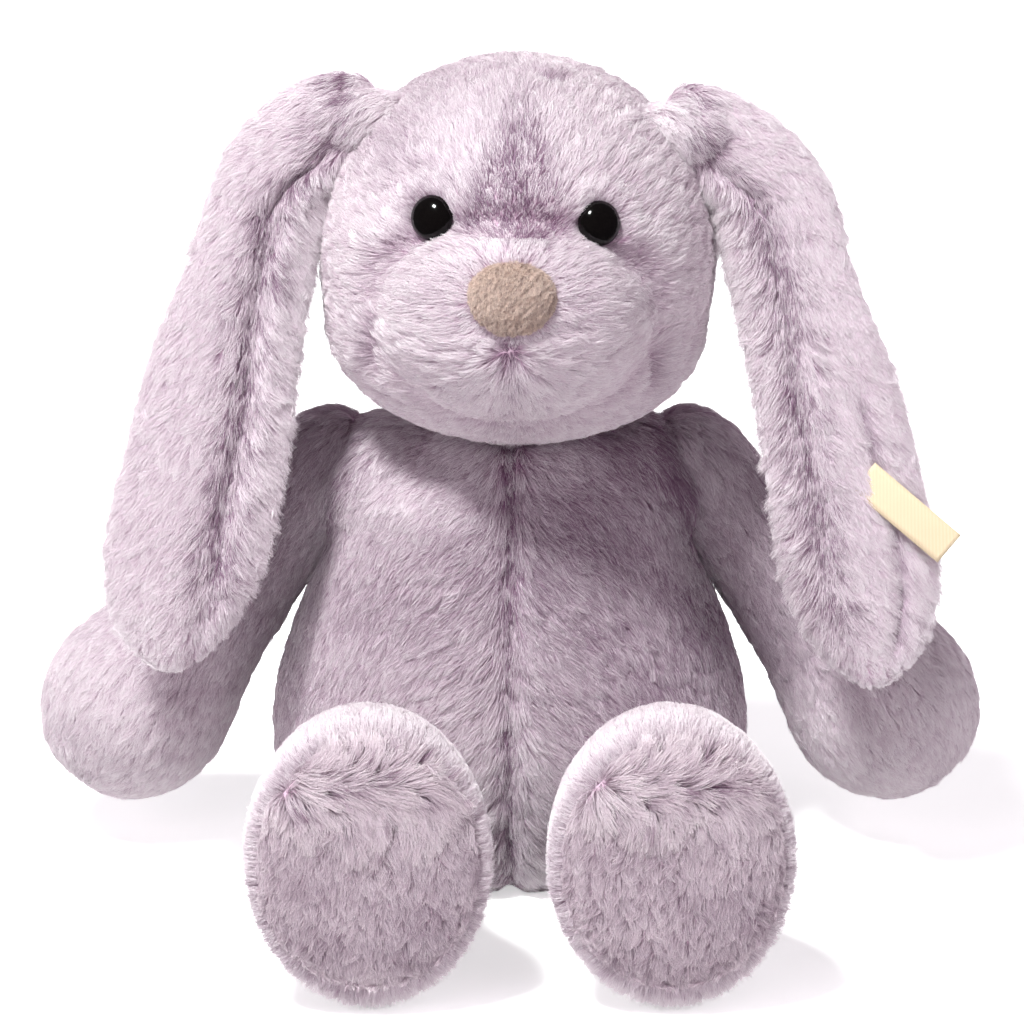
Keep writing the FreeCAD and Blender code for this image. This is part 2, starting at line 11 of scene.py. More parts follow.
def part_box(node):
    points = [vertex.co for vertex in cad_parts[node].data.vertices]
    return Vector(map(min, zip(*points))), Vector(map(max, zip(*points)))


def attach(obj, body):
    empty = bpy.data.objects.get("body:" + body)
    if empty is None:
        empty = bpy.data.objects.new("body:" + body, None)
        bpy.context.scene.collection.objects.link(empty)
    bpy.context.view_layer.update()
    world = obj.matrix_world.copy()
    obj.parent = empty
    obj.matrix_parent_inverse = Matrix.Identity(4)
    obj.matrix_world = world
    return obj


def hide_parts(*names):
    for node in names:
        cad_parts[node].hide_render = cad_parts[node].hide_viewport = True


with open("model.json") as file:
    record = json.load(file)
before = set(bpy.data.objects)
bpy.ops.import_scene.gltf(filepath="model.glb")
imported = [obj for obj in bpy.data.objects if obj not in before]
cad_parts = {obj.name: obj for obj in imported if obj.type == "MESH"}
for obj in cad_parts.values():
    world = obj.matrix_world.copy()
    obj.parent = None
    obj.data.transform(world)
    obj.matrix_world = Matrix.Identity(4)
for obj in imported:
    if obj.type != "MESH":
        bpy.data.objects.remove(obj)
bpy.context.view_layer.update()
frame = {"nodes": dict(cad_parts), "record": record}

MM = 0.001

# ---------------- where things are
SIDES = (("left", 1), ("right", -1))


def joint(name):
    """The record of the joint with this name."""
    return [j for j in frame["record"]["behaviour"]["joints"] if j["name"] == name][0]


def hinge_at(name):
    """A point on a joint's axis."""
    return np.array(joint(name)["pos_m"])


def parts_of(limb, *ends):
    """The CAD nodes of a limb, such as left_arm with front_panel."""
    return tuple(limb + "_" + end for end in ends)


def box_of(*nodes):
    """The box round several CAD nodes, as two arrays in metres."""
    boxes = [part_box(n) for n in nodes]
    low = np.min([np.array(b[0]) for b in boxes], axis=0)
    high = np.max([np.array(b[1]) for b in boxes], axis=0)
    return low, high


HEAD_NODES = ("face_panel_left", "face_panel_right", "head_back_panel_left", "head_back_panel_right")
MUZZLE_NODES = ("muzzle_panel_left", "muzzle_panel_right")
head_low, head_high = box_of(*HEAD_NODES)
HEAD_CENTRE = (head_low + head_high) / 2
HEAD_RADII = (head_high - head_low) / 2
nose_low, nose_high = box_of("nose_pad")
NOSE_CENTRE = (nose_low + nose_high) / 2
NOSE_RADII = (nose_high - nose_low) / 2


def middle_of(node):
    """The middle of a CAD node's box."""
    low, high = box_of(node)
    return (low + high) / 2


def unit_of(v):
    """One vector at length 1."""
    return v / np.linalg.norm(v)


# the face's own directions: across to the toy's left, out of the face, and up it
FACE_SIDE = unit_of(middle_of("eye_left") - middle_of("eye_right"))
LOOK = NOSE_CENTRE - HEAD_CENTRE
FACE_OUT = unit_of(LOOK - (LOOK @ FACE_SIDE) * FACE_SIDE)
FACE_UP = np.cross(FACE_OUT, FACE_SIDE)


# ---------------- mesh tools
def as_arrays(mesh):
    """A mesh's corner positions and its triangles."""
    mesh.calc_loop_triangles()
    points = np.empty(len(mesh.vertices) * 3, np.float32)
    mesh.vertices.foreach_get("co", points)
    faces = np.empty(len(mesh.loop_triangles) * 3, np.int32)
    mesh.loop_triangles.foreach_get("vertices", faces)
    return points.reshape(-1, 3).astype(float), faces.reshape(-1, 3)


def mesh_object(name, points, faces):
    """A new mesh object in the scene from corner points and faces."""
    mesh = bpy.data.meshes.new(name)
    mesh.from_pydata([tuple(p) for p in points], [], [tuple(int(i) for i in f) for f in faces])
    mesh.update()
    thing = bpy.data.objects.new(name, mesh)
    bpy.context.scene.collection.objects.link(thing)
    return thing


def face_outwards(thing):
    """Turn every face of a closed mesh to look outwards."""
    form = bmesh.new()
    form.from_mesh(thing.data)
    bmesh.ops.recalc_face_normals(form, faces=form.faces)
    form.to_mesh(thing.data)
    form.free()
    return thing


def bake_modifiers(thing):
    """Replace a mesh by what its modifiers make of it."""
    graph = bpy.context.evaluated_depsgraph_get()
    mesh = bpy.data.meshes.new_from_object(thing.evaluated_get(graph))
    thing.modifiers.clear()
    thing.data = mesh


def remesh(thing, voxel):
    """Replace overlapping parts by one closed, even skin round them."""
    modifier = thing.modifiers.new("even mesh", "REMESH")
    modifier.mode = "VOXEL"
    modifier.voxel_size = voxel
    modifier.adaptivity = 0
    bake_modifiers(thing)
    keep_largest(thing)


def keep_largest(thing):
    """Drop every loose part but the one with the most corners."""
    form = bmesh.new()
    form.from_mesh(thing.data)
    left, parts = set(form.verts), []
    while left:
        part, front = set(), {left.pop()}
        while front:
            part |= front
            front = {edge.other_vert(corner) for corner in front for edge in corner.link_edges} - part
        left -= part
        parts.append(part)
    parts.sort(key=len)
    for part in parts[:-1]:
        bmesh.ops.delete(form, geom=list(part), context="VERTS")
    form.to_mesh(thing.data)
    form.free()


def set_points(mesh, points):
    """Give a mesh's corners new positions."""
    mesh.vertices.foreach_set("co", points.ravel().astype(np.float32))
    mesh.update()


def normals_of(mesh):
    """The smooth normal at each of a mesh's corners."""
    normals = np.empty(len(mesh.vertices) * 3, np.float32)
    mesh.vertices.foreach_get("normal", normals)
    return normals.reshape(-1, 3).astype(float)


def smooth(thing, rounds):
    """Even out a surface: each round moves every corner halfway to the middle of its neighbours."""
    mesh = thing.data
    points, _ = as_arrays(mesh)
    edges = np.empty(len(mesh.edges) * 2, np.int32)
    mesh.edges.foreach_get("vertices", edges)
    edges = edges.reshape(-1, 2)
    count = np.bincount(edges.ravel(), minlength=len(points)).clip(1)[:, None]
    for _ in range(rounds):
        total = np.zeros_like(points)
        np.add.at(total, edges[:, 0], points[edges[:, 1]])
        np.add.at(total, edges[:, 1], points[edges[:, 0]])
        points = points + 0.5 * (total / count - points)
    set_points(mesh, points)


def joined(name, nodes, extra=()):
    """One rough mesh of several CAD nodes and extra (points, faces) pairs."""
    all_points, all_faces, base = [], [], 0
    pairs = [as_arrays(frame["nodes"][n].data) for n in nodes] + list(extra)
    for points, faces in pairs:
        all_points.append(points)
        all_faces.append(np.asarray(faces) + base)
        base += len(points)
    return mesh_object(name, np.concatenate(all_points), np.concatenate(all_faces))


def ellipsoid_mesh(centre, radii, rings=24, around=36):
    """Points and triangles of an ellipsoid."""
    points = [centre + radii * (0, 0, 1)]
    for i in range(1, rings):
        a = math.pi * i / rings
        for j in range(around):
            b = 2 * math.pi * j / around
            towards = (math.sin(a) * math.cos(b), math.sin(a) * math.sin(b), math.cos(a))
            points.append(centre + radii * towards)
    points.append(centre - radii * (0, 0, 1))
    faces = []
    for j in range(around):
        k = (j + 1) % around
        faces.append((0, 1 + j, 1 + k))
        for i in range(rings - 2):
            a, b = 1 + i * around, 1 + (i + 1) * around
            faces += [(a + j, b + j, b + k), (a + j, b + k, a + k)]
        last = 1 + (rings - 2) * around
        faces.append((last + k, last + j, len(points) - 1))
    return np.array(points), np.array(faces)


def ring_quads(rings, around):
    """Quads that join each closed ring of corners to the next one."""
    faces = []
    for i in range(rings - 1):
        for j in range(around):
            k = (j + 1) % around
            faces.append((i * around + j, i * around + k, (i + 1) * around + k, (i + 1) * around + j))
    return faces


FORM_VOXEL = 1.15 * MM
# a finer mesh needs more rounds to be smoothed over the same distance
FINER = (1.6 * MM / FORM_VOXEL) ** 2


def soft_form(name, nodes, rounds, extra=(), voxel=FORM_VOXEL):
    """One closed, even, smooth form over several CAD nodes and extra parts."""
    thing = joined(name, nodes, extra)
    remesh(thing, voxel)
    smooth(thing, int(rounds))
    return thing


# ---------------- vectors, many at a time
def unit(v):
    """Every row at length 1."""
    return v / np.linalg.norm(v, axis=1, keepdims=True).clip(1e-9)


def along_surface(direction, normal):
    """The part of each direction that lies in the surface, as a unit vector."""
    return unit(direction - (direction * normal).sum(1, keepdims=True) * normal)


def ramp(x, low, high):
    """0 below low, 1 above high, smooth between."""
    t = np.clip((x - low) / (high - low), 0, 1)
    return t * t * (3 - 2 * t)


def hump(x, width):
    """1 at 0 and less and less to both sides, over about a width."""
    return np.exp(-((x / width) ** 2))


def face_frame(p):
    """Positions across, out of and up the face, in millimetres from the middle of the head."""
    q = (p - HEAD_CENTRE) / MM
    return q @ FACE_SIDE, q @ FACE_OUT, q @ FACE_UP


# where the nose is, across and up the face
NOSE_SIDE, _, NOSE_UP = [float(v[0]) for v in face_frame(NOSE_CENTRE[None])]


def from_face(side, out, up):
    """World directions from directions across, out of and up the face."""
    return side[:, None] * FACE_SIDE + out[:, None] * FACE_OUT + up[:, None] * FACE_UP


WAVE_COUNT = 7


def waves(p, size, seed):
    """A smooth random field of about -1 to 1 whose bumps are about size millimetres wide."""
    rng = np.random.default_rng(seed)
    value = np.zeros(len(p))
    for _ in range(WAVE_COUNT):
        axis = rng.normal(size=3)
        axis *= 2 * math.pi / (size * MM * 2) / np.linalg.norm(axis) * rng.uniform(0.6, 1.5)
        value += np.sin(p @ axis + rng.uniform(0, 2 * math.pi))
    return value / 3.0


# ---------------- fur
def surface_samples(thing, per_mm2, seed):
    """Even random points on a form, with the smooth normal at each."""
    points, faces = as_arrays(thing.data)
    a, b, c = points[faces[:, 0]], points[faces[:, 1]], points[faces[:, 2]]
    cross = np.cross(b - a, c - a)
    area = np.linalg.norm(cross, axis=1) / 2
    corner_normals = np.zeros_like(points)
    for k in range(3):
        np.add.at(corner_normals, faces[:, k], cross)
    corner_normals = unit(corner_normals)
    rng = np.random.default_rng(seed)
    count = int(area.sum() / MM**2 * per_mm2)
    chosen = rng.choice(len(faces), size=count, p=area / area.sum())
    u, v = rng.random((2, count))
    flip = u + v > 1
    u[flip], v[flip] = 1 - u[flip], 1 - v[flip]
    w = 1 - u - v
    weights = np.stack([w, u, v], 1)
    corners = faces[chosen]
    where = (points[corners] * weights[:, :, None]).sum(1)
    normal = unit((corner_normals[corners] * weights[:, :, None]).sum(1))
    return where, normal


def tree_of(points):
    """A search tree that finds the points near a place."""
    tree = KDTree(len(points))
    for i, p in enumerate(points):
        tree.insert(p, i)
    tree.balance()
    return tree


STRAND_STEPS = 5
# how much single strands and whole tufts differ in tint
STRAND_TINT_SPREAD = 0.17
TUFT_TINT_SPREAD = 0.06
# and in length, as shares, in lift and turn, in radians, and in place at the tip, in metres
STRAND_LENGTHS = (0.72, 1.08)
TUFT_LENGTHS = (0.80, 1.15)
STRAND_LIFT_SPREAD = 0.12
TUFT_LIFT_SPREAD = 0.13
STRAND_TURN_SPREAD = 0.16
STRAND_WOBBLE = 0.12 * MM
# how much of a strand's way of lying comes from its tuft
TUFT_SHARE = 0.65
# a strand's tip is this share as thick as its root
TIP_THICKNESS = 0.32
# a strand further from its tuft's middle than this is less drawn to it, and then not at all
TUFT_HOLD = (2.2 * MM, 4.0 * MM)


def strand_curves(root, normal, flow, length, lift, droop):
    """Points along strands that leave the surface at a lift and lie down towards their tips."""
    t = np.linspace(0, 1, STRAND_STEPS)[None, :, None]
    rise = np.sin(lift)[:, None, None]
    run = np.cos(lift)[:, None, None]
    up = (t * rise - t * t * rise * droop) * normal[:, None, :]
    out = (t * run + t * t * (1 - run) * 0.8) * flow[:, None, :]
    return root[:, None, :] + length[:, None, None] * (up + out)


def even(value):
    """A groom's field with the same value at every point."""
    return lambda p: np.full(len(p), value)


# the long pile of most forms: strands and tufts to the square millimetre, how far a strand is
# drawn to its tuft, how far its tip hangs, its root's thickness in millimetres, how tufts turn
PILE = {"density": 11.0, "tufts": 0.50, "gather": 0.30, "droop": 0.8, "thick": 0.07, "unruly": 0.25}


def grow_fur(form, body, name, groom, material, seed):
    """Strands of pile on a form, drawn together into tufts. The groom says how they lie and look."""
    density = groom["density"] * 1.0
    root, normal = surface_samples(form, density, seed)
    if "keep" in groom:
        kept = groom["keep"](root, normal)
        root, normal = root[kept], normal[kept]
    tuft, tuft_normal = surface_samples(form, groom["tufts"], seed + 1)
    rng = np.random.default_rng(seed + 2)
    tree = tree_of(tuft)
    owner = np.array([tree.find(p)[1] for p in root])

    # each tuft has its own way of lying
    tuft_flow = along_surface(groom["flow"](tuft, tuft_normal), tuft_normal)
    side = np.cross(tuft_normal, tuft_flow)
    turn = rng.normal(0, groom["unruly"], len(tuft))[:, None]
    tuft_flow = unit(tuft_flow * np.cos(turn) + side * np.sin(turn))
    tuft_length = groom["length"](tuft) * MM * rng.uniform(*TUFT_LENGTHS, len(tuft))
    tuft_lift = groom["lift"](tuft) + rng.normal(0, TUFT_LIFT_SPREAD, len(tuft))
    tuft_shape = strand_curves(tuft, tuft_normal, tuft_flow, tuft_length, tuft_lift, groom["droop"])

    own_flow = along_surface(groom["flow"](root, normal), normal)
    flow = along_surface((1 - TUFT_SHARE) * own_flow + TUFT_SHARE * tuft_flow[owner], normal)
    jitter = rng.normal(0, STRAND_TURN_SPREAD, len(root))[:, None]
    flow = unit(flow * np.cos(jitter) + np.cross(normal, flow) * np.sin(jitter))
    length = groom["length"](root) * MM * rng.uniform(*STRAND_LENGTHS, len(root))
    lift = groom["lift"](root) + rng.normal(0, STRAND_LIFT_SPREAD, len(root))
    shape = strand_curves(root, normal, flow, length, lift, groom["droop"])

    t = np.linspace(0, 1, STRAND_STEPS)[None, :, None]
    pull = groom["gather"] * rng.uniform(0.55, 1.1, len(root))[:, None, None] * t**1.4
    far = np.linalg.norm(root - tuft[owner], axis=1)
    pull = pull * (1 - ramp(far, *TUFT_HOLD))[:, None, None]
    shape = shape * (1 - pull) + tuft_shape[owner] * pull
    shape = shape + rng.normal(0, STRAND_WOBBLE, shape.shape) * t

    curves = bpy.data.hair_curves.new(name)
    curves.add_curves([STRAND_STEPS] * len(root))
    curves.position_data.foreach_set("vector", shape.reshape(-1).astype(np.float32))
    thick = groom["thick"] * MM * np.linspace(1.0, TIP_THICKNESS, STRAND_STEPS) ** 0.8
    radius = curves.attributes.get("radius") or curves.attributes.new("radius", "FLOAT", "POINT")
    radius.data.foreach_set("value", np.tile(thick, len(root)).astype(np.float32))
    tint = curves.attributes.new("tint", "FLOAT", "CURVE")
    speckle = STRAND_TINT_SPREAD + (groom["speckle"](root) if "speckle" in groom else 0)
    shade = groom["tint"](root) + rng.normal(0, 1, len(root)) * speckle
    shade = shade + rng.normal(0, TUFT_TINT_SPREAD, len(tuft))[owner]
    tint.data.foreach_set("value", shade.astype(np.float32))
    curves.materials.append(material)
    thing = bpy.data.objects.new(name, curves)
    bpy.context.scene.collection.objects.link(thing)
    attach(thing, body)


# how many locks are looked at round each corner, and the mean height that is taken off again
LOCKS_NEAR = 7
LOCK_LEVEL = 0.35


def add_locks(form, flow, seed, spacing=3.2, height=0.6, shape=lambda p: 1.0):
    """Sculpt the pile's locks into a form: each rises towards its tip and lies on the next ones."""
    mesh = form.data
    points, _ = as_arrays(mesh)
    normals = normals_of(mesh)
    root, root_normal = surface_samples(form, 1 / spacing**2, seed)
    rng = np.random.default_rng(seed + 1)
    way = along_surface(flow(root, root_normal), root_normal)
    turn = rng.normal(0, 0.3, len(root))[:, None]
    way = unit(way * np.cos(turn) + np.cross(root_normal, way) * np.sin(turn))
    reach = spacing * rng.uniform(1.4, 2.2, len(root))
    tree = tree_of(root)
    near = np.array([[hit[1] for hit in tree.find_n(p, LOCKS_NEAR)] for p in points])
    offset = (points[:, None, :] - root[near]) / MM
    along = (offset * way[near]).sum(2)
    across = np.linalg.norm(offset - along[:, :, None] * way[near], axis=2)
    width = spacing * 0.42 * (1 - 0.5 * ramp(along, 0, reach[near]))
    rise = ramp(along, -spacing * 0.6, reach[near] * 0.8)
    rise = rise * (1 - ramp(along, reach[near] * 0.85, reach[near] * 1.1))
    lift = (hump(across, width) * rise).max(1)
    set_points(mesh, points + normals * ((lift - LOCK_LEVEL) * height * shape(points) * MM)[:, None])


# ---------------- materials
def srgb(r, g, b):
    """A colour as the screen shows it, in linear light."""
    return tuple((c / 12.92 if c <= 0.04045 else ((c + 0.055) / 1.055) ** 2.4) for c in (r, g, b)) + (1.0,)


class Nodes:
    """Short ways to build the node tree of a material or a world."""

    def __init__(self, name, kind="materials"):
        self.owner = getattr(bpy.data, kind).new(name)
        self.owner.use_nodes = True
        self.tree = self.owner.node_tree
        self.tree.nodes.clear()

    def add(self, kind, **values):
        node = self.tree.nodes.new(kind)
        for key, value in values.items():
            if hasattr(node, key):
                setattr(node, key, value)
            else:
                node.inputs[key.replace("_", " ")].default_value = value
        return node

    def link(self, out, into):
        self.tree.links.new(out, into)

    def texture(self, kind, **values):
        """The strength of a texture that is fixed to the object."""
        place = self.add("ShaderNodeTexCoord")
        pattern = self.add(kind, **values)
        self.link(place.outputs["Object"], pattern.inputs["Vector"])
        return pattern.outputs["Fac"]

    def ramp(self, factor, *stops):
        node = self.add("ShaderNodeValToRGB")
        items = node.color_ramp.elements
        while len(items) < len(stops):
            items.new(0.5)
        for item, (place, colour) in zip(items, stops):
            item.position = place
            item.color = colour
        self.link(factor, node.inputs["Fac"])
        return node.outputs["Color"]

    def mix(self, first, second, share):
        """Two shaders mixed; the share of the second is a number or a node's output."""
        node = self.add("ShaderNodeMixShader")
        if isinstance(share, float):
            node.inputs["Fac"].default_value = share
        else:
            self.link(share, node.inputs["Fac"])
        self.link(first, node.inputs[1])
        self.link(second, node.inputs[2])
        return node.outputs[0]

    def done(self, shader, output="ShaderNodeOutputMaterial"):
        out = self.add(output)
        self.link(shader, out.inputs["Surface"])
        return self.owner


def fur_material(name, root, middle, tip, dark):
    """Pile that is deeper in colour at its foot and pale at its tips; the deeper foot is partly the pile's
    own tone and partly painted shade deep among the strands. Low tint is darker: the tint carries each
    strand's tone and the painted shade that the grooms add.
    """
    n = Nodes(name)
    info = n.add("ShaderNodeHairInfo")
    along = n.ramp(info.outputs["Intercept"], (0.0, root), (0.45, middle), (1.0, tip))
    tint = n.add("ShaderNodeAttribute", attribute_name="tint")
    darker = n.add("ShaderNodeMixRGB", blend_type="MULTIPLY", Color2=dark)
    amount = n.add("ShaderNodeMapRange", From_Min=1.0, From_Max=0.0)
    n.link(tint.outputs["Fac"], amount.inputs["Value"])
    n.link(amount.outputs["Result"], darker.inputs["Fac"])
    n.link(along, darker.inputs["Color1"])
    diffuse = n.add("ShaderNodeBsdfDiffuse")
    through = n.add("ShaderNodeBsdfTranslucent")
    shine = n.add("ShaderNodeBsdfHair", component="Reflection", RoughnessU=0.35, RoughnessV=0.6)
    shine.inputs["Color"].default_value = srgb(0.9, 0.88, 0.92)
    for shader in (diffuse, through):
        n.link(darker.outputs["Color"], shader.inputs["Color"])
    pile = n.mix(diffuse.outputs[0], through.outputs[0], 0.35)
    return n.done(n.mix(pile, shine.outputs[0], 0.16))


# the root colours of the lilac, sole and nose piles are partly painted shade deep in the pile
LILAC_ROOT = srgb(0.72, 0.57, 0.68)
LILAC_MIDDLE = srgb(0.90, 0.85, 0.875)
LILAC_TIP = srgb(0.98, 0.965, 0.967)
LILAC_DARK = srgb(0.57, 0.39, 0.53)
lilac_fur = fur_material("lilac pile", LILAC_ROOT, LILAC_MIDDLE, LILAC_TIP, LILAC_DARK)
sole_fur = fur_material(
    "sole pile", srgb(0.62, 0.53, 0.58), srgb(0.85, 0.79, 0.82), srgb(0.97, 0.94, 0.945), LILAC_DARK
)


def skin_material(name, base, deep):
    """The backing cloth under the pile: mottled, with a fine nap."""
    n = Nodes(name)
    mottle = n.texture("ShaderNodeTexNoise", Scale=900.0, Detail=4.0)
    colour = n.ramp(mottle, (0.35, deep), (0.65, base))
    cloth = n.add("ShaderNodeBsdfPrincipled", Roughness=0.9, Sheen_Weight=0.4)
    n.link(colour, cloth.inputs["Base Color"])
    bump = n.add("ShaderNodeBump", Strength=0.4, Distance=0.0004)
    n.link(mottle, bump.inputs["Height"])
    n.link(bump.outputs["Normal"], cloth.inputs["Normal"])
    return n.done(cloth.outputs[0])


lilac_skin = skin_material("lilac backing", srgb(0.86, 0.76, 0.82), srgb(0.76, 0.63, 0.72))


# ---------------- the forms
def dress(form, body, nodes, material=None):
    """Give a form its backing cloth, its body and the CAD pieces that it stands for."""
    form.data.materials.append(material or lilac_skin)
    for face in form.data.polygons:
        face.use_smooth = True
    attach(form, body)
    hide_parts(*nodes)
    return form


def hull_of(nodes, extra):
    """Points and triangles of the convex hull round some CAD nodes and extra points."""
    form = bmesh.new()
    for n in nodes:
        for corner in frame["nodes"][n].data.vertices:
            form.verts.new(corner.co)
    for corner in extra:
        form.verts.new(corner)
    made = bmesh.ops.convex_hull(form, input=form.verts)
    inside = {g for g in made["geom_interior"] + made["geom_unused"] if isinstance(g, bmesh.types.BMVert)}
    bmesh.ops.delete(form, geom=list(inside), context="VERTS")
    form.verts.index_update()
    points = np.array([v.co for v in form.verts])
    faces = np.array([[v.index for v in f.verts] for f in form.faces])
    form.free()
    return points, faces


def move_points(form, shift):
    """Move a form's corners by what shift(points, normals) gives, in metres."""
    mesh = form.data
    points, _ = as_arrays(mesh)
    set_points(mesh, points + shift(points, normals_of(mesh)))


def eye_axis(word):
    """The middle of the eye's back and the way that it looks."""
    points, _ = as_arrays(frame["nodes"]["eye_" + word].data)
    middle = (points.min(0) + points.max(0)) / 2
    apex = points[np.argmax(np.linalg.norm(points - HEAD_CENTRE, axis=1))]
    out = (apex - middle) / np.linalg.norm(apex - middle)
    return apex - out * EYE_BULGE, out


EYE_BULGE = 4.2 * MM
EYE_RADIUS = 5.7 * MM
# how far the domes sit in the head's pile, in millimetres
EYE_SUNK = 2.2
EYES = {word: eye_axis(word) for word, _ in SIDES}


def eye_distance(p):
    """How far each point is from the nearer eye's axis, in millimetres; far for the back of the head."""
    away = []
    for at, out in EYES.values():
        q = p - at
        ahead = q @ out
        away.append(np.linalg.norm(q - ahead[:, None] * out, axis=1) / MM + 100 * (ahead < -30 * MM))
    return np.min(away, axis=0)


def nose_distance(p):
    """1 at the edge of the nose pad, less inside it."""
    side, out, up = face_frame(p)
    wide, tall = NOSE_RADII[0] / MM, NOSE_RADII[2] / MM
    away = np.hypot((side - NOSE_SIDE) / wide, (up - NOSE_UP) / tall)
    return np.where(out > 0, away, 9.0)


# ---------------- head
# heights and depths on the face, in millimetres
MUZZLE_STEP = 2.2
LIP_DEPTH = 1.0
BROW_DEPTH = 0.9
LID_RISE = 0.8
SOCKET_DEPTH = 1.0
CROWN_DEPTH = 0.9
CHEEK_DEPTH = 1.2


def make_head_form():
    """The head with its muzzle, eye sockets, seams and dimples."""
    nodes = HEAD_NODES + MUZZLE_NODES + ("head_stuffing",)
    solid = ellipsoid_mesh(HEAD_CENTRE, HEAD_RADII * 0.99)
    form = soft_form("head_fur", nodes, 28 * FINER, [solid])

    def face_relief(p, n):
        """The muzzle stands out of the face in a step, and seams and eyes are drawn in."""
        edge = muzzle_edge(p)
        front = n @ FACE_OUT > -0.2
        high_up = ramp(face_frame(p)[2], -12, 10)
        step = MUZZLE_STEP * high_up * (ramp(-edge, -1, 7) - hump(edge - 2.5, 2.8))
        middle = -LIP_DEPTH * lip_seam(p) - BROW_DEPTH * brow_patch(p)
        to_eye = eye_distance(p)
        lids = LID_RISE * hump(to_eye - 7.5, 2.4) - SOCKET_DEPTH * (1 - ramp(to_eye, 3, 6))
        dimples = -CROWN_DEPTH * crown_dimple(p) - CHEEK_DEPTH * cheek_dimples(p)
        return n * ((step * front + middle + lids + dimples) * MM)[:, None]

    move_points(form, face_relief)
    smooth(form, 2)
    add_locks(form, head_flow, 90, height=0.4, shape=lambda p: 0.2 + 0.8 * ramp(eye_distance(p), 5, 12))
    return dress(form, "head", nodes)


# how far under the nose's middle the pile's star is, in millimetres
STAR_DROP = 13


def head_flow(p, n):
    """The pile lies away from the nose, and below it away from the seam's star."""
    side, out, up = face_frame(p)
    below = NOSE_UP - up
    away_up = STAR_DROP * ramp(below, 6, 12) - below
    back = 1 - ramp(out, -10, 30)
    return from_face(side - NOSE_SIDE, -30 * back, away_up - 20 * back)


def brow_patch(p):
    """1 on the short pile up the middle of the brow, which is drawn in and given painted shade."""
    side, out, up = face_frame(p)
    above = up - NOSE_UP
    high = ramp(above, 11, 13) * (1 - ramp(above, 26, 46))
    half = 14.5 - 9 * ramp(above, 14, 42)
    return high * (1 - ramp(np.abs(side) / half, 0.5, 1.0)) * (out > 0)


def lip_seam(p):
    """1 on the seam that runs down from the nose."""
    side, out, up = face_frame(p)
    drop = NOSE_UP - up
    below = hump(drop - 12.5, 3.6) + 0.22 * ramp(drop, 8, 12) * (1 - ramp(drop, 26, 34))
    return below * (1 - ramp(np.abs(side), 0.6, 3.2)) * (out > 0)


def crown_dimple(p):
    """1 where the head's seams meet and pull in, on top and a little to the toy's left."""
    side, out, up = face_frame(p)
    top = HEAD_RADII[2] / MM
    away = np.hypot((side - 7) / 1.3, out - 0.30 * top)
    return hump(away, 2.2) * (up > 0.6 * top)


def cheek_dimples(p):
    """1 in the small folds beside the muzzle's lower corners."""
    side, out, up = face_frame(p)
    across = 0.68 * HEAD_RADII[0] / MM
    away = np.hypot((np.abs(side) - across) / 0.6, (up + 0.45 * HEAD_RADII[2] / MM) / 1.6)
    return 0.7 * hump(away, 4.0) * (out > 0)


def muzzle_edge(p):
    """Signed distance outside the muzzle's edge, roughly in millimetres."""
    low, high = box_of(*MUZZLE_NODES)
    radii = (high - low) / 2 / MM
    mid_side, _, mid_up = face_frame((low + high)[None] / 2)
    side, out, up = face_frame(p)
    away = np.hypot((side - mid_side) / radii[0], (up - mid_up) / radii[2])
    return np.where(out > 0, (away - 1) * radii[2], 30)


def head_length(p):
    """Shorter pile on the brow and seams and round the eyes and nose, in millimetres."""
    length = 6.4 * (1 - 0.55 * brow_patch(p))
    length *= 1 - 0.5 * lip_seam(p)
    length *= 0.55 + 0.45 * ramp(eye_distance(p), 5, 10)
    length *= 0.55 + 0.45 * ramp(nose_distance(p), 0.9, 2.0)
    edge = muzzle_edge(p)
    length *= 1 - 0.4 * ramp(face_frame(p)[2], -12, 10) * hump(edge - 2, 2.5)
    return length


def head_tint(p):
    """Painted shade where the pile is short and parted on the brow, in the seams, dimples and the groove
    along the muzzle's top edge and round the eyes, and where the key light falls hardest on the upper
    head, to tone it down; paler on the muzzle.
    """
    side, _, up = face_frame(p)
    # painted shade that tones down the key light on the upper head on the toy's right
    under_key = ramp(up, 10, 30) * (1 - ramp(side, -25, 25))
    tint = 1.04 + 0.08 * waves(p, 14, 11) - 0.30 * under_key
    # painted shade of the gaps in the brow's short pile, and down its middle line
    speckle = np.clip(0.42 + 0.7 * waves(p, 1.1, 12) + 0.8 * waves(p, 2.6, 15), -0.1, 1.3)
    brow_line_shade = hump(side + waves(p, 5, 13), 1.5)
    tint = tint - brow_patch(p) * (0.12 + 0.62 * speckle + 0.42 * brow_line_shade)
    # painted shade in the crown dimple, the lip seam, the groove along the muzzle's top edge and the cheek
    # dimples
    tint = tint - 0.6 * crown_dimple(p)
    tint = tint - 0.7 * lip_seam(p)
    edge = muzzle_edge(p)
    tint = tint - 0.40 * ramp(up, -8, 12) * hump(edge - 2.0, 1.8)
    tint = tint - 0.40 * cheek_dimples(p)
    tint = tint + 0.05 * (edge < -0.5)
    # painted shade round the eyes
    tint = tint - 0.35 * (1 - ramp(eye_distance(p), 4, 8))
    return tint


def head_lift(p):
    """Flatter on the brow, fuller on the muzzle."""
    on_muzzle = 1 - ramp(muzzle_edge(p), -3, 1)
    return 0.42 + 0.22 * on_muzzle + 0.45 * brow_patch(p)


head_groom = PILE | {
    "tufts": 0.45, "unruly": 0.22,
    # more strand-to-strand spread on the brow and lip seam, partly painted shade of the gaps between short
    # strands
    "speckle": lambda p: 0.45 * brow_patch(p) + 0.30 * lip_seam(p),
    "flow": head_flow,
    "length": head_length,
    "lift": head_lift,
    "tint": head_tint,
    "keep": lambda p, n: (eye_distance(p) > 3.3) & (nose_distance(p) > 0.84),
}


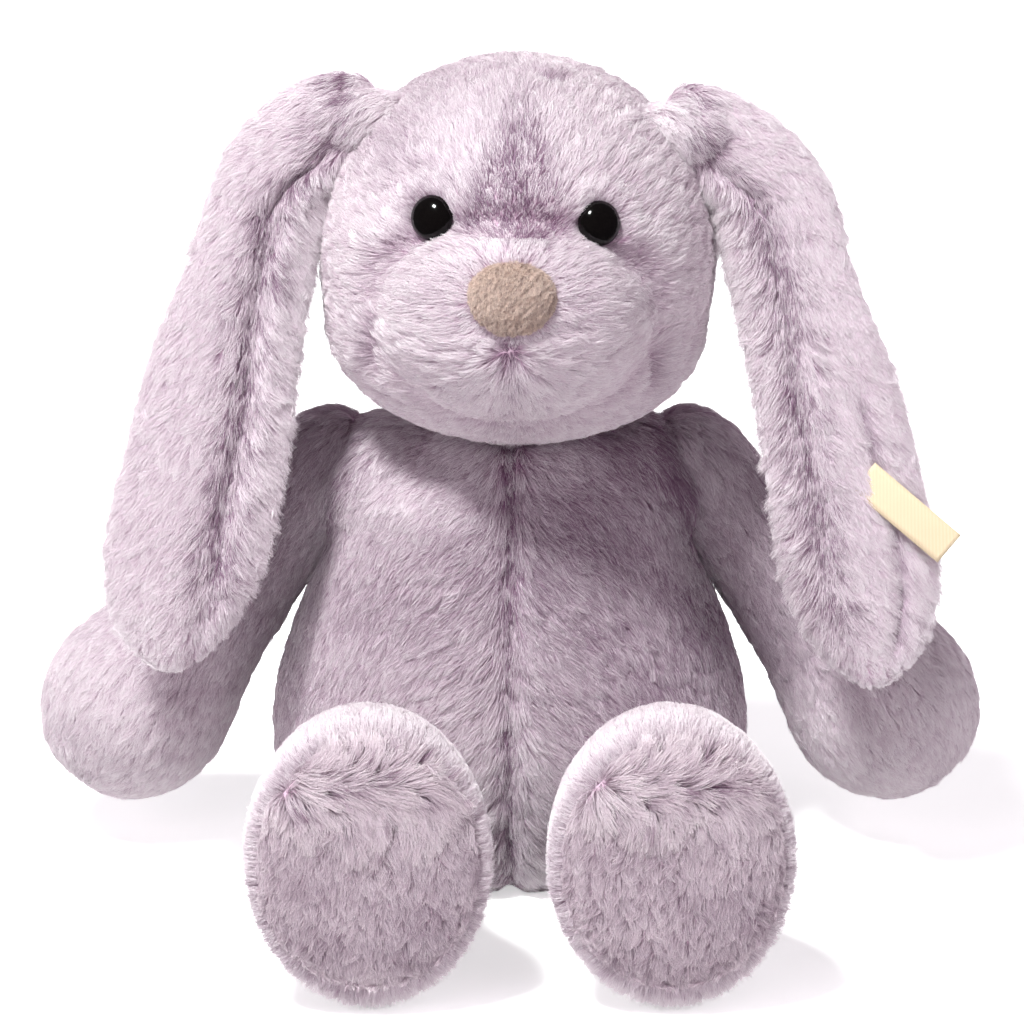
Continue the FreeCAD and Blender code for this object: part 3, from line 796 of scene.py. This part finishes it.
# ---------------- torso, neck and tail
TORSO_NODES = (
    "chest_panel_left", "chest_panel_right", "back_panel_left", "back_panel_right",
    "seat_panel", "body_stuffing",
)


# where the chest's fullness is and how big, as shares of the torso's size
CHEST_AT = (0, -0.02, 0.33)
CHEST_RADII = (0.315, 0.34, 0.19)
# the caps inside the arms' hinges and the collar under the neck, in millimetres
SHOULDER_INSET = (17, 3, 3)
SHOULDER_RADII = (20, 20, 18)
COLLAR_DROP = (0, 1, 10)
COLLAR_RADII = (25, 23, 11)
# how much fuller the flanks are and how deep the front seam is, in millimetres
PLUMP = 3.6
SEAM_DEPTH = 1.5


def make_torso_form():
    """The pear of the torso with its shoulders, collar, flat seat and front seam."""
    low, high = box_of(*TORSO_NODES)
    size = high - low
    chest = (low + high) / 2 + size * CHEST_AT
    hull = hull_of(TORSO_NODES, ellipsoid_mesh(chest, size * CHEST_RADII)[0])
    caps = []
    for word, side in SIDES:
        pivot = hinge_at(word + "_arm_raise")
        inward = pivot - np.array(SHOULDER_INSET) * (side, 1, 1) * MM
        caps.append(ellipsoid_mesh(inward, np.array(SHOULDER_RADII) * MM))
    neck_low, neck_high = box_of("neck_stuffing")
    collar = (neck_low + neck_high) / 2 - np.array(COLLAR_DROP) * MM
    caps.append(ellipsoid_mesh(collar, np.array(COLLAR_RADII) * MM))
    form = soft_form("torso_fur", (), 24 * FINER, [hull] + caps)

    def torso_relief(p, n):
        """The seat is flat, the flanks are full and the front seam is drawn in."""
        shift = np.zeros_like(p)
        shift[:, 2] = np.maximum(low[2] - p[:, 2], 0)
        seam = hump(p[:, 0] / MM, 2.4) * (p[:, 1] < 0)
        z = p[:, 2] / MM
        plump = PLUMP * ramp(z, 25, 65) * (1 - ramp(z, 96, 110)) * np.abs(n[:, 0])
        return shift + n * (plump - SEAM_DEPTH * seam)[:, None] * MM

    move_points(form, torso_relief)
    add_locks(form, torso_flow, 190, height=0.45, shape=lambda p: ramp(p[:, 2] / MM, 2, 12))
    return dress(form, "torso", TORSO_NODES)


def in_mm(p):
    """The three coordinates of each point, in millimetres."""
    return (p / MM).T


def torso_flow(p, n):
    """The pile parts at the front seam and lies outwards and down."""
    x, _, _ = in_mm(p)
    flow = np.zeros_like(p)
    part = 1 - np.exp(-np.abs(x) / 6)
    flow[:, 0] = np.sign(x) * (0.45 + 0.75 * (1 - ramp(np.abs(x), 6, 40))) * part
    flow[:, 2] = -1
    return flow


def torso_seam(p):
    """1 on the ragged parting along the front seam."""
    wander = 0.9 * waves(p * (0, 0, 1), 3, 24)
    x = np.abs(p[:, 0] / MM - wander)
    wide = 3.0 + 1.4 * waves(p * (0, 0, 1), 5, 25)
    return (1 - ramp(x, 0.2, wide)) * (p[:, 1] < 0)


def arm_seam(p):
    """1 on the seams where the arms join the torso."""
    ring = np.zeros(len(p))
    for word, _ in SIDES:
        away = np.linalg.norm(p - hinge_at(word + "_arm_raise"), axis=1) / MM
        ring = np.maximum(ring, hump(away - 19, 2.6))
    return ring


def torso_length(p):
    """Longer pile low down by the seam, shorter in the parting and by the floor, in millimetres."""
    x, _, z = in_mm(p)
    near_seam = 1 - ramp(np.abs(x), 4, 22)
    low_down = 1 - ramp(z, 30, 75)
    off_floor = 0.5 + 0.5 * ramp(z, 2, 14)
    return (5.8 + 1.8 * near_seam * low_down) * (1 - 0.45 * torso_seam(p)) * off_floor


def torso_tint(p):
    """Painted shade: the head's shadow at the front, deeper on the toy's left, away from the key light,
    and shade in the seams; lighter low down by the front seam; the back is left without painted shade.
    """
    speckle = np.clip(0.35 + 1.1 * waves(p, 2.0, 22), 0, 1.3)
    # painted shade in the front seam's ragged parting and round the arm seams
    seams = torso_seam(p) * (0.10 + 0.70 * speckle) + 0.35 * arm_seam(p)
    x, y, z = in_mm(p)
    low_middle = (1 - ramp(z, 20, 75)) * (1 - ramp(np.abs(x), 8, 30))
    behind = ramp(y, -5, 20)
    # painted shadow of the head over the front, deeper on the toy's left; lighter low down by the seam
    front = 0.40 * low_middle + 0.14 - 0.30 * ramp(x, -22, 24) - seams
    return 0.66 + 0.1 * waves(p, 16, 21) + 0.34 * behind + front * (1 - behind)


torso_groom = PILE | {
    "density": 10.0, "gather": 0.42,
    "speckle": lambda p: 0.10 + 0.35 * torso_seam(p),
    "flow": torso_flow,
    "length": torso_length,
    "lift": even(0.50),
    "tint": torso_tint,
    "keep": lambda p, n: n[:, 2] > -0.85,
}


def ball_form(name, nodes, body):
    """A small round form such as the tail."""
    form = soft_form(name, nodes, 4 * FINER)
    add_locks(form, ball_groom["flow"], 180)
    return dress(form, body, nodes)


ball_groom = PILE | {
    "density": 8.0, "gather": 0.5, "droop": 0.5, "thick": 0.075, "unruly": 0.35,
    "flow": lambda p, n: np.tile((0.0, 0.25, -1.0), (len(p), 1)),
    "length": even(6.0),
    "lift": even(0.9),
    "tint": lambda p: 0.95 + 0.1 * waves(p, 10, 31),
}


# ---------------- arms
def cover(form, limb, nodes, groom, seed, height, shape=lambda p: 1.0):
    """Sculpt a limb's locks, dress it and grow its pile."""
    add_locks(form, groom["flow"], seed + 3, height=height, shape=shape)
    dress(form, limb, nodes)
    grow_fur(form, limb, limb + "_pile", groom, lilac_fur, seed)


def make_arm(word, seed):
    """An arm with its pile, which lies from the shoulder to the paw."""
    nodes = parts_of(word + "_arm", "front_panel", "back_panel", "stuffing")
    form = soft_form(word + "_arm_fur", nodes, 5 * FINER)
    pivot = hinge_at(word + "_arm_raise")
    points, _ = as_arrays(form.data)
    far = points[np.argmax(np.linalg.norm(points - pivot, axis=1))]
    along = unit_of(far - pivot)

    def flow(p, n):
        return along + np.array((0, 0, -0.35)) + 0 * p

    def seam(p):
        """1 on the edge seam between the arm's two layers."""
        return hump((p[:, 1] - pivot[1]) / MM, 1.8)

    def arm_tint(p):
        # painted shade: the upper arm's front is darker where the head's and ears' shadows fall, and the
        # edge seam is darker; towards the paw and at the back it is left lighter
        to_paw = ramp((p - pivot) @ along / MM, 35, 75)
        behind = ramp((p - pivot)[:, 1] / MM, 0, 10)
        pale = np.maximum(to_paw, 0.9 * behind)
        return 0.60 + 0.42 * pale + 0.1 * waves(p, 12, seed) - 0.25 * seam(p)

    groom = PILE | {
        "gather": 0.32,
        "flow": flow,
        "length": lambda p: 5.8 * (1 - 0.25 * seam(p)),
        "lift": even(0.60),
        "tint": arm_tint,
    }
    cover(form, word + "_arm", nodes, groom, seed, height=0.4)


# ---------------- legs
def make_leg(word, seed):
    """A leg with its sole, and the pile of both."""
    nodes = parts_of(word + "_leg", "inner_panel", "outer_panel", "stuffing")
    form = soft_form(word + "_leg_fur", nodes, 5 * FINER)
    sole_low, sole_high = box_of(word + "_sole_panel")
    sole_middle, sole_radii = (sole_low + sole_high) / 2, (sole_high - sole_low) / 2
    front = sole_low[1]

    def sole_away(p):
        """1 at the sole's edge, less inside it."""
        across = (p[:, 0] - sole_middle[0]) / sole_radii[0]
        high = (p[:, 2] - sole_middle[2]) / sole_radii[2]
        return np.hypot(across, high)

    def leg_tint(p):
        # painted shade round the sole's edge, where it meets the foot
        rim = hump(sole_away(p) - 1.0, 0.05)
        return 1.10 + 0.08 * waves(p, 12, seed) - 0.35 * rim

    def flow(p, n):
        f = np.zeros_like(p)
        near = ramp(-p[:, 1], -(front + 26 * MM), -(front + 8 * MM))
        f[:, 1] = -0.2 + 0.9 * near
        f[:, 0] = (p[:, 0] - sole_middle[0]) / sole_radii[0] * near
        f[:, 2] = -0.3 + ((p[:, 2] - sole_middle[2]) / sole_radii[2] * 0.9 + 0.3) * near
        return f

    groom = PILE | {
        "density": 12.0, "gather": 0.18, "droop": 0.85,
        "flow": flow,
        "length": even(5.0),
        "lift": even(0.40),
        "tint": leg_tint,
        "keep": lambda p, n: ~((n[:, 1] < -0.7) & (sole_away(p) < 0.93)),
    }
    cover(form, word + "_leg", nodes, groom, seed, 0.22, lambda p: ramp(sole_away(p), 0.9, 1.1))

    sole = make_sole(word, sole_middle, sole_radii)

    def shag(p):
        """1 in the fuller pile along the sole's upper edge."""
        high = (p[:, 2] - sole_middle[2]) / sole_radii[2]
        return ramp(high + 0.12 * waves(p, 9, seed + 52), 0.15, 0.65)

    def sole_flow(p, n):
        high = (p[:, 2] - sole_middle[2]) / sole_radii[2]
        out = (p[:, 0] - sole_middle[0]) / sole_radii[0] * 0.3 + 0.25 * shag(p) * waves(p, 6, seed + 53)
        out = out + 1.3 * ramp(high, 0.45, 0.75) * (1 - ramp(high, 0.75, 1.0))
        return np.stack([out, 0 * out, -1 + 2.2 * ramp(high, 0.62, 0.90)], 1)

    def sole_tint(p):
        shaggy = shag(p) * (0.38 - 0.6 * waves(p, 2.4, seed + 51))
        return 0.78 + 0.10 * waves(p, 8, seed + 50) + shaggy

    sole_groom = PILE | {
        "density": 12.0, "tufts": 0.40, "gather": 0.45, "unruly": 0.40,
        "flow": sole_flow,
        "length": lambda p: 4.2 + 3.6 * shag(p),
        "lift": lambda p: 0.40 + 0.50 * shag(p),
        "tint": sole_tint,
        "keep": lambda p, n: n[:, 1] < 0.5,
    }
    grow_fur(sole, word + "_leg", word + "_sole_pile", sole_groom, sole_fur, seed + 60)


SOLE_CROWN = 3.2 * MM
SOLE_ROLL = 1.2 * MM


def make_sole(word, middle, radii, rings=14, around=72):
    """An oval padded patch that bulges a little out of the foot."""

    def front_at(share):
        """How far out the sole's front is, at a share of the way from its middle to its edge."""
        return -radii[1] - SOLE_CROWN * (1 - share**2.5) + SOLE_ROLL * share**12

    profile = [(i / rings, front_at(i / rings)) for i in range(1, rings + 1)]
    profile += [(1.01, radii[1] * 0.3), (1.0, radii[1])]
    points = []
    for share, out in profile:
        for j in range(around):
            a = 2 * math.pi * j / around
            across, high = radii[0] * math.cos(a), radii[2] * math.sin(a)
            points.append(middle + np.array((share * across, out, share * high)))
    faces = ring_quads(len(profile), around)
    front, back = len(points), len(points) + 1
    points += [middle + np.array((0, front_at(0), 0)), middle + np.array((0, radii[1], 0))]
    last = (len(profile) - 1) * around
    for j in range(around):
        k = (j + 1) % around
        faces += [(front, k, j), (back, last + j, last + k)]
    sole = mesh_object(word + "_sole", points, faces)
    return dress(face_outwards(sole), word + "_leg", (word + "_sole_panel",))


# ---------------- ears
# the rounded root that laps over the head: its place from the hinge and its radii, in millimetres
EAR_FOLD_AT = (-9, -1, 2.0)
EAR_FOLD_RADII = (14.5, 6.0, 7.5)


def make_ear(word, side, seed):
    """A lop ear with the crease down its front and the pile that parts along it."""
    nodes = parts_of(word + "_ear", "front_panel", "back_panel")
    root = hinge_at(word + "_ear_lift")
    fold_at = root + np.array(EAR_FOLD_AT) * (side, 1, 1) * MM
    fold = ellipsoid_mesh(fold_at, np.array(EAR_FOLD_RADII) * MM)
    form = soft_form(word + "_ear_fur", nodes, 6 * FINER, [fold], FORM_VOXEL * 0.9)
    behind = np.array(joint(word + "_ear_lift")["axis"]) * -side
    up = unit((np.array((0, 0, 1.0)) - behind * behind[2])[None])[0]
    outward = np.cross(behind, up) * side

    def local(p):
        """Outwards, behind and down from the ear's root, in millimetres."""
        q = (p - root) / MM
        return q @ outward, q @ behind, -(q @ up)

    points, _ = as_arrays(form.data)
    out, _, down = local(points)
    stations = np.linspace(-8, 132, 36)
    low = np.array([out[np.abs(down - s) < 4].min() for s in stations])
    high = np.array([out[np.abs(down - s) < 4].max() for s in stations])

    def across(p):
        """The share of the way across, millimetres from the inner edge, the width and how far down."""
        o, _, d = local(p)
        inner = np.interp(d, stations, low)
        outer = np.interp(d, stations, high)
        return (o - inner) / (outer - inner), o - inner, outer - inner, d

    def from_crease(p):
        """Millimetres outside the crease that runs down the ear."""
        _, o, width, d = across(p)
        return o - width * (0.46 - 0.18 * ramp(d, 5, 75))

    def lap(p):
        """1 in the fold behind the front lobe, which only the ear with the label has."""
        _, o, width, d = across(p)
        place = o - width * (0.70 - 0.06 * waves(np.stack([0 * d, 0 * d, d * MM], 1), 40, seed + 8))
        return hump(place, 2.0) * ramp(d, 48, 75) * (1 - ramp(d, 122, 132)) * (side > 0)

    def pinch(p, n):
        """The crease and the fold are drawn in, and the plain ear is fuller on its inner side."""
        crease = hump(from_crease(p), 2.6) * (n @ behind < 0.2)
        fade = ramp(local(p)[2], -2, 12) * (1 - ramp(local(p)[2], 95, 120))
        front = (n @ behind) < 0
        bulge = 1.0 * (1 - crease) * front
        share, _, _, d = across(p)
        fuller = 2.6 * hump(share, 0.3) * hump(d - 75, 32) * (n @ outward < 0.2)
        inward = outward * (-fuller * (side < 0) * MM)[:, None]
        return behind * ((crease * fade * 1.9 + 1.7 * lap(p) * front - bulge) * MM)[:, None] + inward

    move_points(form, pinch)
    smooth(form, 2)

    def flow(p, n):
        c = from_crease(p)
        spread = np.clip(c / 7, -1, 1) * (n @ behind < 0.3)
        over_top = 1.6 * (1 - ramp(local(p)[2], -2, 14))
        return outward * (0.75 * spread + over_top)[:, None] - up

    def crease_shade(p):
        """1 in the crease itself."""
        return hump(from_crease(p), 2.6) * ramp(local(p)[2], -4, 8)

    def crease_zone(p):
        """1 in the ragged band where the pile parts along the crease."""
        wander = from_crease(p) + 1.5 * waves(p, 4, seed + 5)
        return hump(wander, 5.5) * (1 - ramp(local(p)[2], 112, 132))

    def ear_tint(p):
        ragged = np.clip(0.40 + 0.9 * waves(p, 1.3, seed + 1) + 0.8 * waves(p, 2.8, seed + 2), 0, 1.4)
        # painted shade in the crease, in the ragged parting beside it and in the fold behind the front
        # lobe
        parting = 0.25 * crease_shade(p) + 0.70 * crease_zone(p) * ragged + 0.6 * lap(p)
        return 1.16 + 0.07 * waves(p, 14, seed) - parting

    def ear_length(p):
        return 6.0 * (1 - 0.15 * crease_shade(p)) * (1 - 0.45 * ramp(local(p)[2], 118, 134))

    groom = PILE | {
        "density": 12.0, "tufts": 0.40, "droop": 0.85, "unruly": 0.28,
        # more strand-to-strand spread in the parting, partly painted shade of its gaps
        "speckle": lambda p: 0.40 * crease_zone(p),
        "flow": flow,
        "length": ear_length,
        "lift": lambda p: 0.45 + 0.30 * crease_zone(p),
        "tint": ear_tint,
    }
    cover(form, word + "_ear", nodes, groom, seed, height=0.3)


# ---------------- eyes, nose and label
def make_eye(word):
    """A glossy black dome, a little flatter than half a ball."""
    at, out = EYES[word]
    at = at - out * EYE_SUNK * MM
    side = unit_of(np.cross(out, (0, 0, 1.0)))
    over = np.cross(side, out)
    rings, around = 14, 48
    points = []
    for i in range(rings):
        a = math.pi / 2 * i / rings
        radius, rise = EYE_RADIUS * math.cos(a) ** 0.85, EYE_BULGE * math.sin(a)
        for j in range(around):
            b = 2 * math.pi * j / around
            points.append(at + radius * (side * math.cos(b) + over * math.sin(b)) + out * rise)
    faces = ring_quads(rings, around)
    top, base = len(points), len(points) + 1
    points += [at + out * EYE_BULGE, at - out * 1.2 * MM]
    last = (rings - 1) * around
    faces += [(last + j, last + (j + 1) % around, top) for j in range(around)]
    faces += [((j + 1) % around, j, base) for j in range(around)]
    dome = mesh_object(word + "_eye_dome", np.array(points), faces)
    return dress(face_outwards(dome), "head", ("eye_" + word,), eye_black)


def eye_material():
    """Black plastic with the faintest scuffs."""
    n = Nodes("eye black")
    plastic = n.add("ShaderNodeBsdfPrincipled", Roughness=0.12, Specular_IOR_Level=0.22)
    scuffs = n.texture("ShaderNodeTexNoise", Scale=1400.0, Detail=3.0)
    black, worn = srgb(0.02, 0.015, 0.015), srgb(0.035, 0.028, 0.025)
    colour = n.ramp(scuffs, (0.3, black), (0.7, worn))
    n.link(colour, plastic.inputs["Base Color"])
    return n.done(plastic.outputs[0])


eye_black = eye_material()
nose_fur = fur_material(
    "nose pile", srgb(0.68, 0.57, 0.52), srgb(0.82, 0.73, 0.67), srgb(0.91, 0.84, 0.78),
    srgb(0.58, 0.47, 0.42),
)
nose_skin = skin_material("nose backing", srgb(0.76, 0.66, 0.61), srgb(0.66, 0.56, 0.52))


def make_nose():
    """The padded nose with its very short nap, wider at the top than at the bottom."""
    form = soft_form("nose_fur", ("nose_pad",), 5, voxel=0.7 * MM)

    def shape(p, n):
        side, _, up = face_frame(p)
        t = (up - NOSE_UP) / (NOSE_RADII[2] / MM)
        nubs = 0.16 * waves(p, 1.1, 44) * MM
        return FACE_SIDE * (side * (0.10 * t - 0.02) * MM)[:, None] + n * nubs[:, None]

    def shaded_side(p):
        """About -1 to 1, rising down and to the toy's left, the side away from the key light, where
        painted shade darkens the nap.
        """
        side, _, up = face_frame(p)
        return ((side - NOSE_SIDE) / NOSE_RADII[0] - (up - NOSE_UP) / NOSE_RADII[2]) * MM / 1.6

    move_points(form, shape)
    dress(form, "head", ("nose_pad",), nose_skin)
    groom = {
        "density": 45.0, "tufts": 1.0, "gather": 0.0, "droop": 0.3, "thick": 0.06, "unruly": 0.5,
        "flow": lambda p, n: np.tile((0.0, 0.0, -1.0), (len(p), 1)),
        "length": even(1.0),
        "lift": even(0.8),
        # painted shade on the nose's side away from the key light
        "tint": lambda p: 0.88 + 0.30 * waves(p, 0.8, 41) - 0.22 * shaded_side(p),
        "keep": lambda p, n: n @ FACE_OUT > -0.1,
    }
    grow_fur(form, "head", "nose_pile", groom, nose_fur, 500)


def ribbon_material():
    """Cream ribbon with a fine weave."""
    n = Nodes("label ribbon")
    weave = n.texture("ShaderNodeTexWave", Scale=900.0, Distortion=0.6)
    colour = n.ramp(weave, (0.0, srgb(0.72, 0.65, 0.53)), (1.0, srgb(0.84, 0.77, 0.66)))
    cloth = n.add("ShaderNodeBsdfPrincipled", Roughness=0.65)
    n.link(colour, cloth.inputs["Base Color"])
    return n.done(cloth.outputs[0])


def make_label():
    """A plain ribbon folded on itself, drawn as one thin strip that bows out and curls a little towards
    its free end.
    """
    points, _ = as_arrays(frame["nodes"]["ear_label"].data)
    start = hinge_at("label_flap")
    up = -np.array(joint("label_flap")["axis"])
    reach = points - start
    reach = reach - (reach @ up)[:, None] * up
    along = unit(reach[[np.argmax(np.linalg.norm(reach, axis=1))]])[0]
    front = np.cross(along, up)
    length = np.linalg.norm(reach, axis=1).max()
    height = ((points - start) @ up).max()
    steps, half = 28, 0.28 * MM

    def bow(t):
        """How far the ribbon stands off a straight line, at a share t of its length."""
        return 0.9 * MM * math.sin(math.pi * t) + 1.2 * MM * t * t

    shares = [i / steps for i in range(steps + 1)]
    outline = [(t * length, bow(t) + half) for t in shares]
    outline += [(t * length, bow(t) - half) for t in reversed(shares)]
    rows = 6
    corners = []
    for r in range(rows + 1):
        for x, y in outline:
            corners.append(start + along * x + front * y + up * height * r / rows)
    ring = len(outline)
    faces = ring_quads(rows + 1, ring)
    for r, flip in ((0, True), (rows, False)):
        for i in range(steps):
            a, b = r * ring + i, r * ring + i + 1
            c, d = r * ring + ring - 2 - i, r * ring + ring - 1 - i
            faces.append((a, d, c, b) if flip else (a, b, c, d))
    label = mesh_object("plain_label", np.array(corners), faces)
    return dress(face_outwards(label), "ear_label", ("ear_label",), ribbon_material())


# ---------------- the whole toy
head_form = make_head_form()
grow_fur(head_form, "head", "head_pile", head_groom, lilac_fur, 100)
torso_form = make_torso_form()
grow_fur(torso_form, "torso", "torso_pile", torso_groom, lilac_fur, 200)
tail_form = ball_form("tail_fur", ("tail_cover", "tail_stuffing"), "torso")
grow_fur(tail_form, "torso", "tail_pile", ball_groom, lilac_fur, 230)
neck_form = ball_form("neck_fur", ("neck_stuffing",), "neck")
# the neck's pile under the head is darker: painted shade
neck_groom = ball_groom | {"length": even(3.5), "tint": even(0.65)}
grow_fur(neck_form, "neck", "neck_pile", neck_groom, lilac_fur, 240)
for number, (word, side) in enumerate(SIDES):
    make_arm(word, 300 + 10 * number)
    make_leg(word, 340 + 10 * number)
    make_ear(word, side, 400 + 10 * number)
    make_eye(word)
make_nose()
make_label()


def plain_inner(name, colour, nodes):
    """A quiet mottled material for the parts that stay inside."""
    material = skin_material(name, srgb(*colour), srgb(*[c * 0.9 for c in colour]))
    for n in nodes:
        frame["nodes"][n].data.materials.clear()
        frame["nodes"][n].data.materials.append(material)


plain_inner("washer plastic", (0.86, 0.86, 0.84), ("eye_washer_left", "eye_washer_right"))
plain_inner("pouch cloth", (0.90, 0.88, 0.83), ("pellet_pouch",))


# ---------------- light, floor and camera
def area_light(name, where, at, size, power, colour):
    """A soft square lamp aimed at a point. Only the key is seen in the glossy eyes."""
    data = bpy.data.lights.new(name, "AREA")
    data.size = size
    data.energy = power
    data.color = colour
    lamp = bpy.data.objects.new(name, data)
    bpy.context.scene.collection.objects.link(lamp)
    lamp.location = where
    lamp.rotation_euler = (Vector(at) - Vector(where)).to_track_quat("-Z", "Y").to_euler()
    lamp.visible_glossy = name == "key"


def make_world():
    """White behind the toy, and a faint lilac light from all round."""
    n = Nodes("studio", "worlds")
    glow = n.add("ShaderNodeBackground", Color=(0.95, 0.80, 0.95, 1), Strength=0.13)
    backdrop = n.add("ShaderNodeBackground", Color=(1, 1, 1, 1))
    seen = n.add("ShaderNodeLightPath")
    look = n.mix(glow.outputs[0], backdrop.outputs[0], seen.outputs["Is Camera Ray"])
    bpy.context.scene.world = n.done(look, "ShaderNodeOutputWorld")


# the floor ends in metres where the lights still reach, so that it meets the white backdrop unseen
FLOOR_RADIUS = 1.7
FLOOR_CORNERS = 64


def make_floor():
    """A round pale studio floor."""
    turns = [2 * math.pi * i / FLOOR_CORNERS for i in range(FLOOR_CORNERS)]
    rim = [(FLOOR_RADIUS * math.cos(a), FLOOR_RADIUS * math.sin(a), 0) for a in turns]
    floor = mesh_object("floor", np.array(rim), [tuple(range(FLOOR_CORNERS))])
    n = Nodes("floor paint")
    paint = n.add("ShaderNodeBsdfPrincipled", Roughness=0.9, Base_Color=(0.9, 0.9, 0.9, 1))
    # the camera sees the floor a little brighter than it is, as on a lit studio sweep
    lit = n.add("ShaderNodeEmission", Strength=0.55)
    seen = n.add("ShaderNodeLightPath")
    both = n.add("ShaderNodeAddShader")
    n.link(paint.outputs[0], both.inputs[0])
    n.link(lit.outputs[0], both.inputs[1])
    look = n.mix(paint.outputs[0], both.outputs[0], seen.outputs["Is Camera Ray"])
    floor.data.materials.append(n.done(look))
    floor.visible_glossy = False


FILL_COLOUR = (1, 0.90, 0.98)
# name, place, aimed at, size in metres, power in watts, colour
LIGHTS = (
    ("key", (-0.54, -0.68, 1.66), (0, 0, 0.1), 0.28, 57, (0.965, 1.0, 0.975)),
    ("left fill", (-1.2, -1.4, 0.75), (0, 0, 0.14), 0.9, 12, FILL_COLOUR),
    ("right fill", (1.45, -1.0, 0.75), (0, 0, 0.17), 0.9, 11, FILL_COLOUR),
    ("back fill", (0.5, 1.7, 1.1), (0, 0, 0.12), 1.0, 16, (1, 0.95, 0.99)),
)
VIEW_DOWN = math.radians(17)
VIEW_FROM = 1.1
VIEW_AT = Vector((0, -0.020, 0.120))
LENS = 152.75
# how far the frame is shifted across and up, as shares of its width
SHIFT_ACROSS = 0.002
SHIFT_UP = -0.0789


def make_camera():
    """A long lens that looks a little down on the toy."""
    data = bpy.data.cameras.new("camera")
    data.lens = LENS
    data.sensor_width = 36
    data.shift_x = SHIFT_ACROSS
    data.shift_y = SHIFT_UP
    eye = bpy.data.objects.new("camera", data)
    bpy.context.scene.collection.objects.link(eye)
    back = Vector((0, -math.cos(VIEW_DOWN), math.sin(VIEW_DOWN)))
    eye.location = VIEW_AT + back * VIEW_FROM
    eye.rotation_euler = (-back).to_track_quat("-Z", "Y").to_euler()
    bpy.context.scene.camera = eye


make_floor()
make_world()
for light in LIGHTS:
    area_light(*light)
make_camera()
bpy.context.scene.view_settings.view_transform = "Standard"
